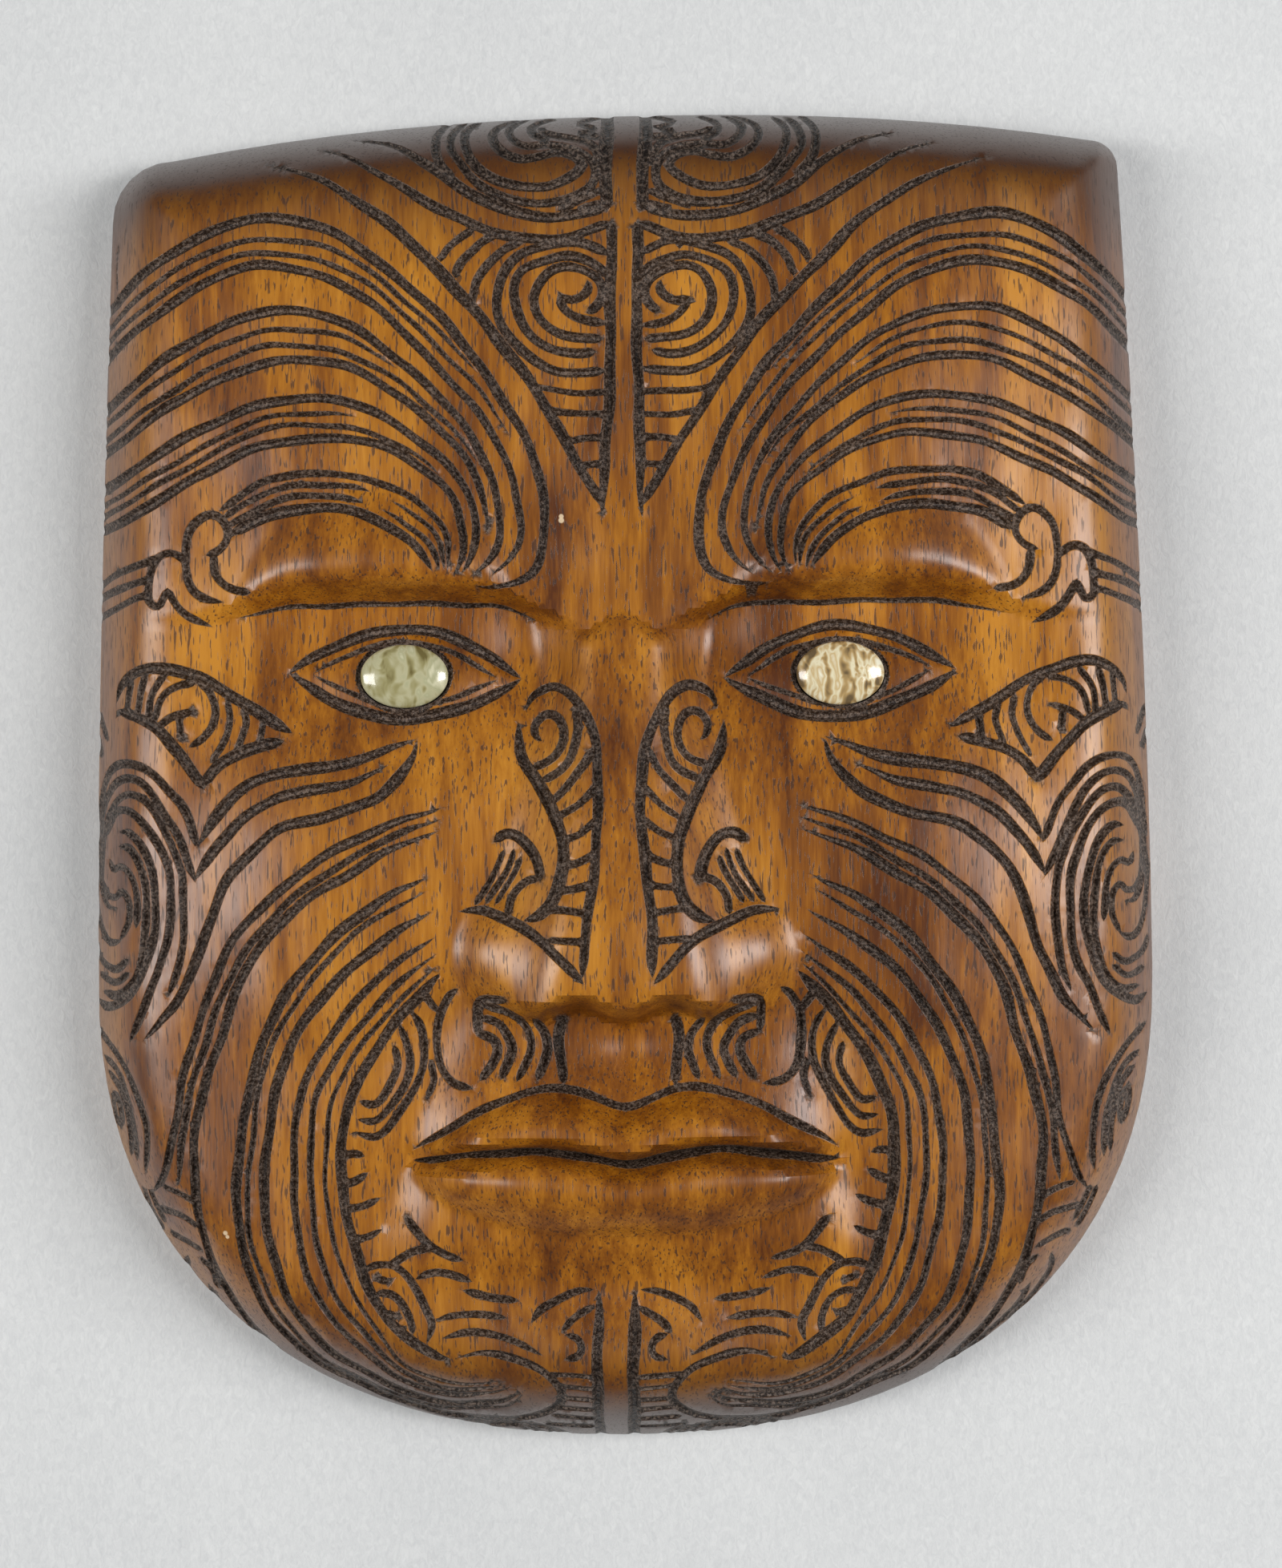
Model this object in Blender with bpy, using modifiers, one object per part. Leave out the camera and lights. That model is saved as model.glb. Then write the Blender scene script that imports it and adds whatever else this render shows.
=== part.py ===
"""Carved wooden mask with a flat back, lying on its back, and two inlaid oval shell eyes.

Metres, +Z up. The face looks up +Z, the forehead points to +Y, and +X is on the viewer's right.
The origin is on the flat back, in the middle of the board.
"""
import bmesh
import bpy
import numpy as np

# Driving sizes of the board, in metres
HEIGHT = 0.280
WIDTH = 0.224
DEPTH = 0.045
RIM_WALL = 0.009
BACK_EDGE_BREAK = 0.0008

# Carved lines
GROOVE_WIDTH = 0.0028
GROOVE_DEPTH = 0.0015
LID_LINE_WIDTH = 0.0032

# Shell eyes: ovals with a low dome, let into pockets in the wood
SHELL_LENGTH = 0.018
SHELL_WIDTH = 0.013
SHELL_EDGE = 0.0016
SHELL_DOME = 0.0016
SHELL_PROUD = 0.0006
SHELL_GAP = 0.0003
SHELL_STEPS = 32

# Blind hole in the back for the peg that the mask hangs on
HANG_HOLE_DIAMETER = 0.008
HANG_HOLE_DEPTH = 0.013
HANG_HOLE_HEIGHT = 0.084

# Fineness of the carved surface before and after it is thinned
CARVING_STEP = 0.0008
BLOCK_TRIANGLES = 7800
BLOCK_MARGIN = 0.006

# The face is drawn on a sheet that is stretched over the board: one unit is about 1 mm on this board
SHEET_HALF_WIDTH = 112.0
SHEET_HALF_HEIGHT = 140.0
SHEET_RIM = 9.0
UNIT_X = WIDTH / 2 / SHEET_HALF_WIDTH
UNIT_Y = HEIGHT / 2 / SHEET_HALF_HEIGHT

# Places of the face on the sheet: thirds of the height and fifths of the width
THIRD = 2 * SHEET_HALF_HEIGHT / 3
BROW_LINE = SHEET_HALF_HEIGHT - THIRD
NOSE_BASE = BROW_LINE - THIRD
MOUTH_LINE = NOSE_BASE - THIRD / 3
EYE_LINE = BROW_LINE - 0.28 * THIRD
FIFTH = 2 * SHEET_HALF_WIDTH / 5
EYE_MIDDLE = FIFTH
EYE_HALF = FIFTH / 2
MOUTH_HALF = FIFTH

# Outline on the sheet
WIDEST_LINE = -42.0
JAW_POWER = 2.3
RIGHT_CORNER = (105.5, 134.0, 6.0)
LEFT_CORNER = (107.0, 131.0, 13.0)

# Hood of the brow over each eye
HOOD_MIDDLE = 51.0
HOOD_HALF = 29.0
HOOD_RISE = 20.0


def smooth(start, end, value):
    """Smooth step from 0 at start to 1 at end."""
    share = np.clip((value - start) / (end - start), 0, 1)
    return share * share * (3 - 2 * share)


def swell(x, y, centre_x, centre_y, reach_x, reach_y):
    """Soft round swelling of height 1, repeated on both sides when it is off the middle."""
    rise = np.exp(-(((x - centre_x) / reach_x) ** 2))
    if centre_x:
        rise = rise + np.exp(-(((x + centre_x) / reach_x) ** 2))
    return rise * np.exp(-(((y - centre_y) / reach_y) ** 2))


def soft_profile(y, heights, values, blur=5.0):
    """Values read between named heights, with the corners rounded over the blur."""
    shifts = blur * np.array([-1.0, -0.5, 0.0, 0.5, 1.0])
    return sum(np.interp(y + shift, heights, values) for shift in shifts) / len(shifts)


def soft_union(first, second, blend):
    """The higher of two surfaces with a fillet of the given height between them."""
    share = np.clip(0.5 + 0.5 * (first - second) / blend, 0, 1)
    return second + (first - second) * share + blend * share * (1 - share)


def evenly(path, step=None, count=None):
    """The path again, with points at even steps along it."""
    lengths = np.hypot(*np.diff(path, axis=0).T)
    along = np.concatenate([[0], np.cumsum(lengths)])
    count = count or max(3, int(along[-1] / step) + 1)
    places = np.linspace(0, along[-1], count)
    return np.column_stack([np.interp(places, along, path[:, 0]), np.interp(places, along, path[:, 1])])


def through(*points):
    """A smooth line through the guide points, with a point every half unit."""
    guide = np.array(points, float)
    guide = np.vstack([2 * guide[0] - guide[1], guide, 2 * guide[-1] - guide[-2]])
    t = np.linspace(0, 1, 24, endpoint=False)[:, None]
    spans = []
    for a, b, c, d in zip(guide[:-3], guide[1:-2], guide[2:-1], guide[3:]):
        bend = (2 * a - 5 * b + 4 * c - d) * t**2 + (3 * b - a - 3 * c + d) * t**3
        spans.append(b + 0.5 * ((c - a) * t + bend))
    spans.append(guide[-2:-1])
    return evenly(np.vstack(spans), step=0.5)


def between(first, second, share):
    """The line that runs part of the way from the first line to the second."""
    count = max(len(first), len(second))
    return evenly(first, count=count) * (1 - share) + evenly(second, count=count) * share


def spiral(centre, start_radius, end_radius, turns, start, stretch=(1.0, 1.0)):
    """A spiral out from its eye, stretched along the sheet's axes."""
    t = np.linspace(0, 1, 120)
    radius = start_radius + (end_radius - start_radius) * t
    angle = np.radians(start) + 2 * np.pi * turns * t
    turn = np.column_stack([np.cos(angle), np.sin(angle)]) * radius[:, None]
    return evenly(np.array(centre) + np.array(stretch) * turn, step=0.5)


def board_outline():
    """Closed outline on the sheet: a rounded jaw, slightly bowed sides and a bowed top."""
    power = 2 / JAW_POWER
    turn = np.linspace(0, np.pi / 2, 26)
    jaw_x = SHEET_HALF_WIDTH * np.sin(turn) ** power
    jaw_y = WIDEST_LINE - (SHEET_HALF_HEIGHT + WIDEST_LINE) * np.cos(turn) ** power
    jaw = np.column_stack([jaw_x, jaw_y])

    def side(corner_x, corner_y, radius):
        y = np.linspace(WIDEST_LINE, corner_y - radius, 9)[1:]
        rise = (y - WIDEST_LINE) / (corner_y - WIDEST_LINE)
        x = SHEET_HALF_WIDTH - (SHEET_HALF_WIDTH - corner_x) * rise**1.6
        bend = np.linspace(0, np.pi / 2, 7)[1:]
        corner_x = x[-1] - radius + radius * np.cos(bend)
        corner_y = y[-1] + radius * np.sin(bend)
        return np.vstack([np.column_stack([x, y]), np.column_stack([corner_x, corner_y])])

    right = side(*RIGHT_CORNER)
    left = side(*LEFT_CORNER) * (-1, 1)
    share = np.linspace(0, 1, 18)[1:-1]
    top = right[-1] + (left[-1] - right[-1]) * share[:, None]
    arch = 1 - np.abs(2 * share - 1) ** 2.3
    top[:, 1] += arch * np.min((SHEET_HALF_HEIGHT - top[:, 1]) / arch)
    return np.vstack([jaw, right, top, left[::-1], (jaw * (-1, 1))[-2:0:-1]])


def distance_from_edge(x, y, outline):
    """Distance from the outline on the sheet, positive inside it."""
    nearest = np.full(x.shape, np.inf)
    inside = np.zeros(x.shape, bool)
    for (ax, ay), (bx, by) in zip(outline, np.roll(outline, -1, axis=0)):
        dx, dy = bx - ax, by - ay
        share = np.clip(((x - ax) * dx + (y - ay) * dy) / (dx * dx + dy * dy), 0, 1)
        nearest = np.minimum(nearest, (x - ax - share * dx) ** 2 + (y - ay - share * dy) ** 2)
        if ay != by:
            inside ^= ((ay > y) != (by > y)) & (x < dx * (y - ay) / dy + ax)
    return np.where(inside, 1, -1) * np.sqrt(nearest)


def brow_fold(a):
    """Height of the fold under the brow: level over the eye, dipping at both ends."""
    return 38.5 - 7.0 * smooth(30, 8, a) ** 1.3 + 3.5 * smooth(8, 0, a) - 4.5 * smooth(64, 90, a)


def eye_lids(a, grow=0.0):
    """Heights of the upper and lower lid, an almond on the eye line, at distance a from the middle."""
    u = np.clip((a - EYE_MIDDLE) / (EYE_HALF + grow), -1, 1)
    upper = EYE_LINE + (9.0 + 0.6 * grow) * (1 - np.abs(u) ** 1.9) + 0.6 * u
    lower = EYE_LINE - (8.0 + 0.6 * grow) * (1 - np.abs(u) ** 1.8) + 0.6 * u
    return upper, lower


def lip_parting(a):
    """Height of the line between the lips."""
    dip = 1.5 * np.exp(-((a / 8.0) ** 2))
    lift = 1.3 * np.exp(-(((a - 18) / 12.0) ** 2))
    return MOUTH_LINE - dip + lift - 0.9 * smooth(28, 44, a)


def lip_edges(a):
    """Heights of the upper lip's top edge and the lower lip's bottom edge."""
    u = np.clip(a / MOUTH_HALF, 0, 1)
    notch = 1 - 0.16 * np.exp(-((a / 6.0) ** 2))
    upper = lip_parting(a) + 12.6 * (1 - u**2.2) ** 0.85 * notch
    lower = MOUTH_LINE - 0.9 - 15.6 * (1 - u**2.5) ** 0.62
    return upper, lower


def brows_and_sockets(a, y):
    """Swelling of each brow, the hood that ends at the fold, and the eye plane sunk under it."""
    fold = brow_fold(a)
    z = 2.6 * swell(a, y, 58, 72, 34, 34) - 1.6 * swell(a, y, 0, 62, 16, 46) + 1.3 * swell(a, y, 15, 45, 13, 9)
    span = np.clip(1 - ((a - HOOD_MIDDLE) / HOOD_HALF) ** 2, 0, 1)
    reach = HOOD_RISE * span**0.62
    t = np.clip((y - fold) / np.maximum(reach, 0.001), 0, 1)
    z += 5.2 * span * np.sin(np.pi * t**0.62) * (1 - 0.5 * t)
    sunk = smooth(-0.4, 3.4, fold - y) * (1 - smooth(2, 50, fold - y))
    z -= 7.4 * sunk * np.exp(-np.abs((a - 38) / 44.0) ** 3.4)
    z -= 2.6 * swell(a, y, 20, 25, 9, 12)
    upper, lower = eye_lids(a)
    u = np.clip((a - EYE_MIDDLE) / EYE_HALF, -1, 1)
    v = np.clip((2 * y - upper - lower) / np.maximum(upper - lower, 0.001), -1, 1)
    return z + 1.5 * (1 - u**2) * (1 - v**2)


def cheeks_and_chin(a, y):
    """Cheeks, the round muzzle, the chin and the hollows between them."""
    z = 4.2 * swell(a, y, 64, -24, 28, 36) + 3.8 * swell(a, y, 0, -82, 46, 26)
    z += 3.4 * swell(a, y, 0, -125, 26, 13) - 3.0 * swell(a, y, 0, -105, 36, 7)
    drop = NOSE_BASE + 10.7 - y
    side_fold = 34 + 0.30 * drop - 0.0006 * drop**2
    z -= 2.4 * np.exp(-(((a - side_fold) / 7.0) ** 2)) * smooth(-104, -80, y) * (1 - smooth(-52, -34, y))
    return z - 3.8 * swell(a, y, 0, -56, 34, 9) - 1.0 * swell(a, y, 0, -56, 4.5, 8)


def nose(a, y, z):
    """The face with the nose raised from it: a ridge that widens to the tip, and two wings."""
    heights = np.array([-60, -50, -40, -28, -8, 14, 26, 34, 44])
    crest = soft_profile(y, heights, [41.0, 43.4, 45.2, 44.2, 40.4, 35.6, 33.0, 31.6, 31.0])
    flat = soft_profile(y, heights, [14, 14, 13, 10.5, 7.5, 5.5, 5.5, 7, 8])
    foot = soft_profile(y, heights, [34, 34, 33, 30, 24, 19, 18, 20, 21])
    crest = crest - 1.5 * np.clip(a / (flat + 6), 0, 1) ** 2
    section = 1 - smooth(flat, foot, a)
    base = NOSE_BASE - 0.5 - 1.4 * np.cos(a * np.pi / 9.5) * np.exp(-((a / 22) ** 4)) + 10 * smooth(22, 33, a)
    length = smooth(-3.2, 2.4, y - base) * smooth(-1.0, 5.0, brow_fold(a) + 0.6 - y)
    z = z + np.maximum(crest - z, 0) * section * length
    wing = 37.4 - 6.5 * (((a - 22.5) / 11.0) ** 2 + ((y - NOSE_BASE - 10.0) / 11.5) ** 2) ** 1.3
    return soft_union(z, wing, 5.0)


def lips(a, y):
    """Two rolled lips with a cut line between them."""
    upper, lower = lip_edges(a)
    parting = lip_parting(a)
    width = (1 - np.clip(a / MOUTH_HALF, 0, 1) ** 2) ** 0.5
    up = np.clip((y - parting) / np.maximum(upper - parting, 0.001), 0, 1)
    down = np.clip((parting - y) / np.maximum(parting - lower, 0.001), 0, 1)
    roll = np.where(y > parting, 5.2 * np.sin(np.pi * up**0.75), 6.0 * np.sin(np.pi * down**0.72))
    cut = 3.0 * np.exp(-(((y - parting) / 1.7) ** 2)) * (1 - smooth(MOUTH_HALF - 4, MOUTH_HALF + 2, a))
    return width * roll - cut


def face_height(x, y, edge):
    """Height of the uncut face over the back, on the sheet; edge is the distance from the outline."""
    a = np.abs(x)
    z = 31.0 - 5.0 * (a / SHEET_HALF_WIDTH) ** 2 - 3.0 * (y / SHEET_HALF_HEIGHT) ** 2
    z = z + brows_and_sockets(a, y) + cheeks_and_chin(a, y)
    z = nose(a, y, z) + lips(a, y)
    roll = 19.0 + 6.0 * smooth(-60, -130, y)
    fall = (1 - np.clip(edge / roll, -0.15, 1)) ** 2.6
    return z + (SHEET_RIM - z) * fall


def surface(x, y, edge):
    """Height of the uncut face in metres: the sheet's rim meets the wall and its nose the full depth."""
    ridge = np.linspace(NOSE_BASE, NOSE_BASE + THIRD / 3, 200)
    peak = face_height(np.zeros(200), ridge, np.full(200, SHEET_HALF_WIDTH)).max()
    share = (face_height(x, y, edge) - SHEET_RIM) / (peak - SHEET_RIM)
    return RIM_WALL + (DEPTH - RIM_WALL) * share


def forehead_lines():
    """Middle strip, the wedges beside it, the sweeping lines above and the hairline scrolls."""
    slope = through((73, 126.5), (58, 116), (45, 104), (35, 93.5), (24, 80), (13.8, 67), (4.6, 53.5))
    lines = [slope]
    lines.append(through((3.6, 143), (3.6, 130), (3.4, 117)))
    lines.append(through((4.6, 113.5), (4.4, 90), (4.3, 54)))
    lines.append(through((63, 130.5), (51, 123), (38, 115), (24, 110.8), (13.5, 110.5), (4.2, 113.4)))
    outer = through((39.5, 143), (38.3, 129), (31, 120.8), (19, 117.5), (9, 119.2), (6, 125), (11, 128))
    inner = through((25, 143), (23.4, 134), (18, 130), (13, 131), (10, 134))
    lines += [outer, between(outer, inner, 0.5), inner]
    lines.append(spiral((14.5, 96.5), 1.5, 10.0, -1.9, 100))
    for y in (82, 74.5, 67):
        side_x = np.interp(y, slope[::-1, 1], slope[::-1, 0])
        lines.append(through((4.6, y), (side_x, y + 0.3)))
    return lines


def brow_lines():
    """Lines that sweep from the root of the nose over the brow and out over the side."""
    upper = through((112.5, 96), (98, 105.5), (77, 115), (54, 108.5), (33, 88), (18.5, 64), (13.2, 46),
                    (15, 39.5), (20, 35.6), (31, 35.6))
    start = through((112.5, 96), (98, 105.5), (77, 115), (54, 108.5), (33, 88), (18.5, 64), (14.6, 47),
                    (21, 38.2))
    lower = through((112.5, 52), (95, 57.5), (74, 67.6), (52, 66.5), (34, 54.5), (25.6, 42), (24.4, 37.5))
    lines = [upper, lower]
    for share in (0.19, 0.38, 0.58, 0.78):
        lines.append(between(start, lower, share))
    lines.append(through((82, 52), (64, 61), (53, 61), (43, 57), (34, 50), (28, 39)))
    lines.append(spiral((85, 45), 1.6, 6.5, -1.3, 120))
    for y in (46.5, 39.5):
        lines.append(through((95, y), (112.5, y - 3)))
    return lines


def nose_lines():
    """The long line and the scroll on each side of the ridge, and the line over the wing."""
    lines = [through((11.5, 17), (6.6, 15), (5.2, 2), (5.2, -16), (6.2, -40))]
    lines.append(through((11.5, 17), (13.6, 8), (12.6, -2), (11, -12), (12.8, -26), (16, -30)))
    lines.append(through((29, -28.6), (20, -30), (12, -34.4), (6.6, -42.4)))
    lines.append(through((28.5, -14), (22.5, -13.6), (17.6, -20.4)))
    return lines


def cheek_lines():
    """Leaf at the outer corner of the eye, nested tongues below it and the scroll on the side."""
    lines = [through((105, 16), (103.4, 20.6), (96.6, 23.4), (89, 21.4), (74.5, 11), (69, 8))]
    lines.append(through((105, 16), (96.6, 11), (86, -1)))
    lines.append(through((86, -1), (75.4, 6), (69, 8)))
    lines.append(through((46, 8), (57, 4.4), (75, -0.6), (86.4, -13.8)))
    lines.append(through((50, 2), (64, -2.6), (73.6, -6), (81, -12), (86.4, -20)))
    lines.append(through((45.6, 7.2), (52.5, -3), (70.2, -10), (83, -29), (87.4, -43), (100.6, -54.8)))
    lines.append(through((110.6, -9), (109.8, 0), (105.5, 5.2), (99, 5.2), (93, -0.6), (86.4, -14)))
    lines.append(spiral((103.4, -18), 2.0, 8.4, -1.6, 30, (0.85, 2.2)))
    lines.append(through((87, -22), (88.4, -32), (95.5, -50)))
    return lines


def mouth_lines():
    """The band down the cheek to the jaw and the wide band round the mouth."""
    jaw_inner = through((33, -9.5), (54, -14), (75, -33), (87.2, -61.6), (94, -84))
    jaw_outer = through((33, -14.6), (54, -21.5), (73.4, -42.6), (84.6, -72), (84.6, -103), (69, -128.5),
                        (60, -137))
    outer = through((33.5, -22), (56, -33.5), (73.4, -60), (75.6, -91), (62, -117), (36, -131.6),
                    (14.5, -130.8), (14.6, -120.8), (29, -118.6))
    inner = through((33.8, -41), (48, -56), (54, -79), (49.6, -102), (37.5, -116), (29, -118.6))
    lines = [jaw_inner, jaw_outer, outer, inner]
    short = through((33.5, -22), (56, -33.5), (73.4, -60), (75.6, -91), (62, -117), (36, -131.6), (19, -126))
    for share in (0.36, 0.7):
        lines.append(between(short, inner, share))
    lines.append(through((11.6, -48.4), (11, -55), (11.6, -62)))
    lines.append(spiral((22, -55), 1.5, 6.0, 1.2, 0))
    return lines


def chin_lines():
    """Middle strip of the chin, the wave under the lip and the marks at the jaw."""
    lines = [through((4.0, -106), (4.2, -122), (4.2, -143))]
    lines.append(through((40, -106), (33, -103), (25, -104), (18, -107)))
    lines.append(through((9, -143), (14, -137), (24, -136.4), (36, -139)))
    lines.append(spiral((103.2, -69), 1.4, 5.0, 1.4, 80, (0.8, 2.3)))
    for y in (-80, -89, -98):
        lines.append(through((87, y), (94, y + 1)))
    return lines


def lid_lines():
    """Upper and lower lid of each eye."""
    a = np.linspace(EYE_MIDDLE - EYE_HALF - 1.5, EYE_MIDDLE + EYE_HALF + 1.5, 60)
    return [evenly(np.column_stack([a, lid]), step=0.5) for lid in eye_lids(a, grow=1.5)]


def cut_grooves(depths, x, y, lines, width):
    """Sink round-bottomed grooves, thinner towards both ends, along the lines and their mirror images."""
    for line in lines:
        end = np.minimum(np.arange(len(line)), np.arange(len(line))[::-1]) / (0.15 * len(line))
        fullness = np.clip(0.45 + 0.55 * end, 0, 1)
        for px, py, full in np.column_stack([line, fullness]):
            half = width / 2 * full
            for middle in (px * UNIT_X, -px * UNIT_X):
                columns = slice(*np.searchsorted(x, (middle - half, middle + half)))
                rows = slice(*np.searchsorted(y, (py * UNIT_Y - half, py * UNIT_Y + half)))
                squared = (x[columns] - middle) ** 2 + (y[rows, None] - py * UNIT_Y) ** 2
                notch = GROOVE_DEPTH * full * np.clip(1 - squared / half**2, 0, 1)
                np.maximum(depths[rows, columns], notch, out=depths[rows, columns])


def material(name, colour, roughness):
    """A Principled material with one colour."""
    made = bpy.data.materials.new(name)
    made.use_nodes = True
    shader = made.node_tree.nodes["Principled BSDF"]
    shader.inputs["Base Color"].default_value = (*colour, 1)
    shader.inputs["Roughness"].default_value = roughness
    shader.inputs["Metallic"].default_value = 0.0
    made.diffuse_color = (*colour, 1)
    return made


def place(name, mesh, collection, look=None):
    """A new object for the mesh, in the collection."""
    made = bpy.data.objects.new(name, mesh)
    collection.objects.link(made)
    if look:
        mesh.materials.append(look)
    return made


def as_cutter(tool):
    """Mark an object as a cutter: a wire that isn't rendered."""
    tool.hide_render = True
    tool.display_type = "WIRE"
    return tool


def combine(target, tool, operation):
    """Apply an exact Boolean of the tool to the target."""
    step = target.modifiers.new(operation.title(), "BOOLEAN")
    step.operation = operation
    step.solver = "EXACT"
    step.object = tool
    apply_modifiers(target)


def apply_modifiers(target):
    """Replace the object's mesh with its evaluated mesh."""
    bpy.context.view_layer.update()
    evaluated = target.evaluated_get(bpy.context.evaluated_depsgraph_get())
    mesh = bpy.data.meshes.new_from_object(evaluated)
    target.modifiers.clear()
    target.data = mesh


def carved_block(collection):
    """A block whose top is the carved face, a little larger than the board and reaching below its back."""
    columns = round((WIDTH + 2 * BLOCK_MARGIN) / CARVING_STEP)
    rows = round((HEIGHT + 2 * BLOCK_MARGIN) / CARVING_STEP)
    x = (np.arange(columns + 1) - columns / 2) * CARVING_STEP
    y = (np.arange(rows + 1) - rows / 2) * CARVING_STEP
    sheet_x, sheet_y = np.meshgrid(x / UNIT_X, y / UNIT_Y)
    edge = distance_from_edge(sheet_x, sheet_y, board_outline())
    heights = surface(sheet_x, sheet_y, edge)
    depths = np.zeros_like(heights)
    lines = forehead_lines() + brow_lines() + nose_lines() + cheek_lines() + mouth_lines() + chin_lines()
    cut_grooves(depths, x, y, lines, GROOVE_WIDTH)
    cut_grooves(depths, x, y, lid_lines(), LID_LINE_WIDTH)
    heights = heights - depths

    grid = bmesh.new()
    bmesh.ops.create_grid(grid, x_segments=columns, y_segments=rows, size=0.5)
    for vert in grid.verts:
        column = round((vert.co.x + 0.5) * columns)
        row = round((vert.co.y + 0.5) * rows)
        vert.co = (x[column], y[row], heights[row, column])
    rim = [side for side in grid.edges if side.is_boundary]
    skirt = bmesh.ops.extrude_edge_only(grid, edges=rim)["geom"]
    for vert in [item for item in skirt if isinstance(item, bmesh.types.BMVert)]:
        vert.co.z = -RIM_WALL / 2
    bmesh.ops.contextual_create(grid, geom=[side for side in grid.edges if side.is_boundary])
    bmesh.ops.recalc_face_normals(grid, faces=grid.faces)
    mesh = bpy.data.meshes.new("mask_body")
    grid.to_mesh(mesh)
    grid.free()
    return place("mask_body", mesh, collection)


def outline_cutter(collection):
    """The board's outline, extruded past the nose and with its back edge broken."""
    curve = bpy.data.curves.new("board_outline", "CURVE")
    curve.dimensions = "2D"
    curve.fill_mode = "BOTH"
    curve.extrude = DEPTH
    outline = board_outline() * (UNIT_X, UNIT_Y)
    spline = curve.splines.new("POLY")
    spline.points.add(len(outline) - 1)
    for point, (x, y) in zip(spline.points, outline):
        point.co = (x, y, 0, 1)
    spline.use_cyclic_u = True
    drawn = place("board_outline_curve", curve, collection)
    bpy.context.view_layer.update()
    evaluated = drawn.evaluated_get(bpy.context.evaluated_depsgraph_get())
    mesh = bpy.data.meshes.new_from_object(evaluated)
    bpy.data.objects.remove(drawn)
    solid = bmesh.new()
    solid.from_mesh(mesh)
    bmesh.ops.remove_doubles(solid, verts=solid.verts, dist=0.00001)
    bmesh.ops.translate(solid, verts=solid.verts, vec=(0, 0, DEPTH))
    bmesh.ops.recalc_face_normals(solid, faces=solid.faces)
    solid.to_mesh(mesh)
    solid.free()
    tool = as_cutter(place("board_outline", mesh, collection))
    break_edge = tool.modifiers.new("Back edge", "BEVEL")
    break_edge.width = BACK_EDGE_BREAK
    break_edge.segments = 1
    break_edge.limit_method = "ANGLE"
    break_edge.angle_limit = np.radians(60)
    return tool


def oval(name, collection, length, width, bottom, top, steps):
    """An upright oval cylinder between two heights, centred on the Z axis."""
    bpy.ops.mesh.primitive_cylinder_add(vertices=steps, radius=0.5, depth=top - bottom)
    made = bpy.context.object
    made.name = name
    made.data.name = name
    for vert in made.data.vertices:
        vert.co = (vert.co.x * length, vert.co.y * width, vert.co.z + (top + bottom) / 2)
    for other in made.users_collection:
        other.objects.unlink(made)
    collection.objects.link(made)
    return made


def shell_profile():
    """Half section of a shell eye: a low dome over a short upright edge and a flat underside."""
    angles = np.radians(np.linspace(90, 0, 5))
    dome = [(np.cos(angle) / 2, SHELL_EDGE + SHELL_DOME * np.sin(angle)) for angle in angles]
    return dome + [(0.5, 0), (0, 0)]


def shell_eye(name, collection, look, centre):
    """A domed oval disc, turned from its half section and then stretched to its length and width."""
    profile = shell_profile()
    mesh = bpy.data.meshes.new(name)
    verts = [(radius, 0, z) for radius, z in profile]
    mesh.from_pydata(verts, [(i, i + 1) for i in range(len(verts) - 1)], [])
    made = place(name, mesh, collection)
    turn = made.modifiers.new("Turn", "SCREW")
    turn.steps = SHELL_STEPS
    turn.render_steps = SHELL_STEPS
    turn.use_merge_vertices = True
    turn.merge_threshold = 0.0001
    apply_modifiers(made)
    solid = bmesh.new()
    solid.from_mesh(made.data)
    bmesh.ops.remove_doubles(solid, verts=solid.verts, dist=0.0001)
    for vert in solid.verts:
        vert.co.x *= SHELL_LENGTH
        vert.co.y *= SHELL_WIDTH
    bmesh.ops.recalc_face_normals(solid, faces=solid.faces)
    solid.to_mesh(made.data)
    solid.free()
    made.data.materials.append(look)
    made.data.shade_smooth()
    made.data.set_sharp_from_angle(angle=np.radians(50))
    made.location = centre
    return made


def eye_centre(side):
    """Middle of a shell eye's underside, set so that the shell's edge stands just proud of the wood."""
    x = np.array([EYE_MIDDLE * side])
    y = np.array([EYE_LINE])
    edge = distance_from_edge(x, y, board_outline())
    return x[0] * UNIT_X, y[0] * UNIT_Y, surface(x, y, edge)[0] + SHELL_PROUD - SHELL_EDGE


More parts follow.
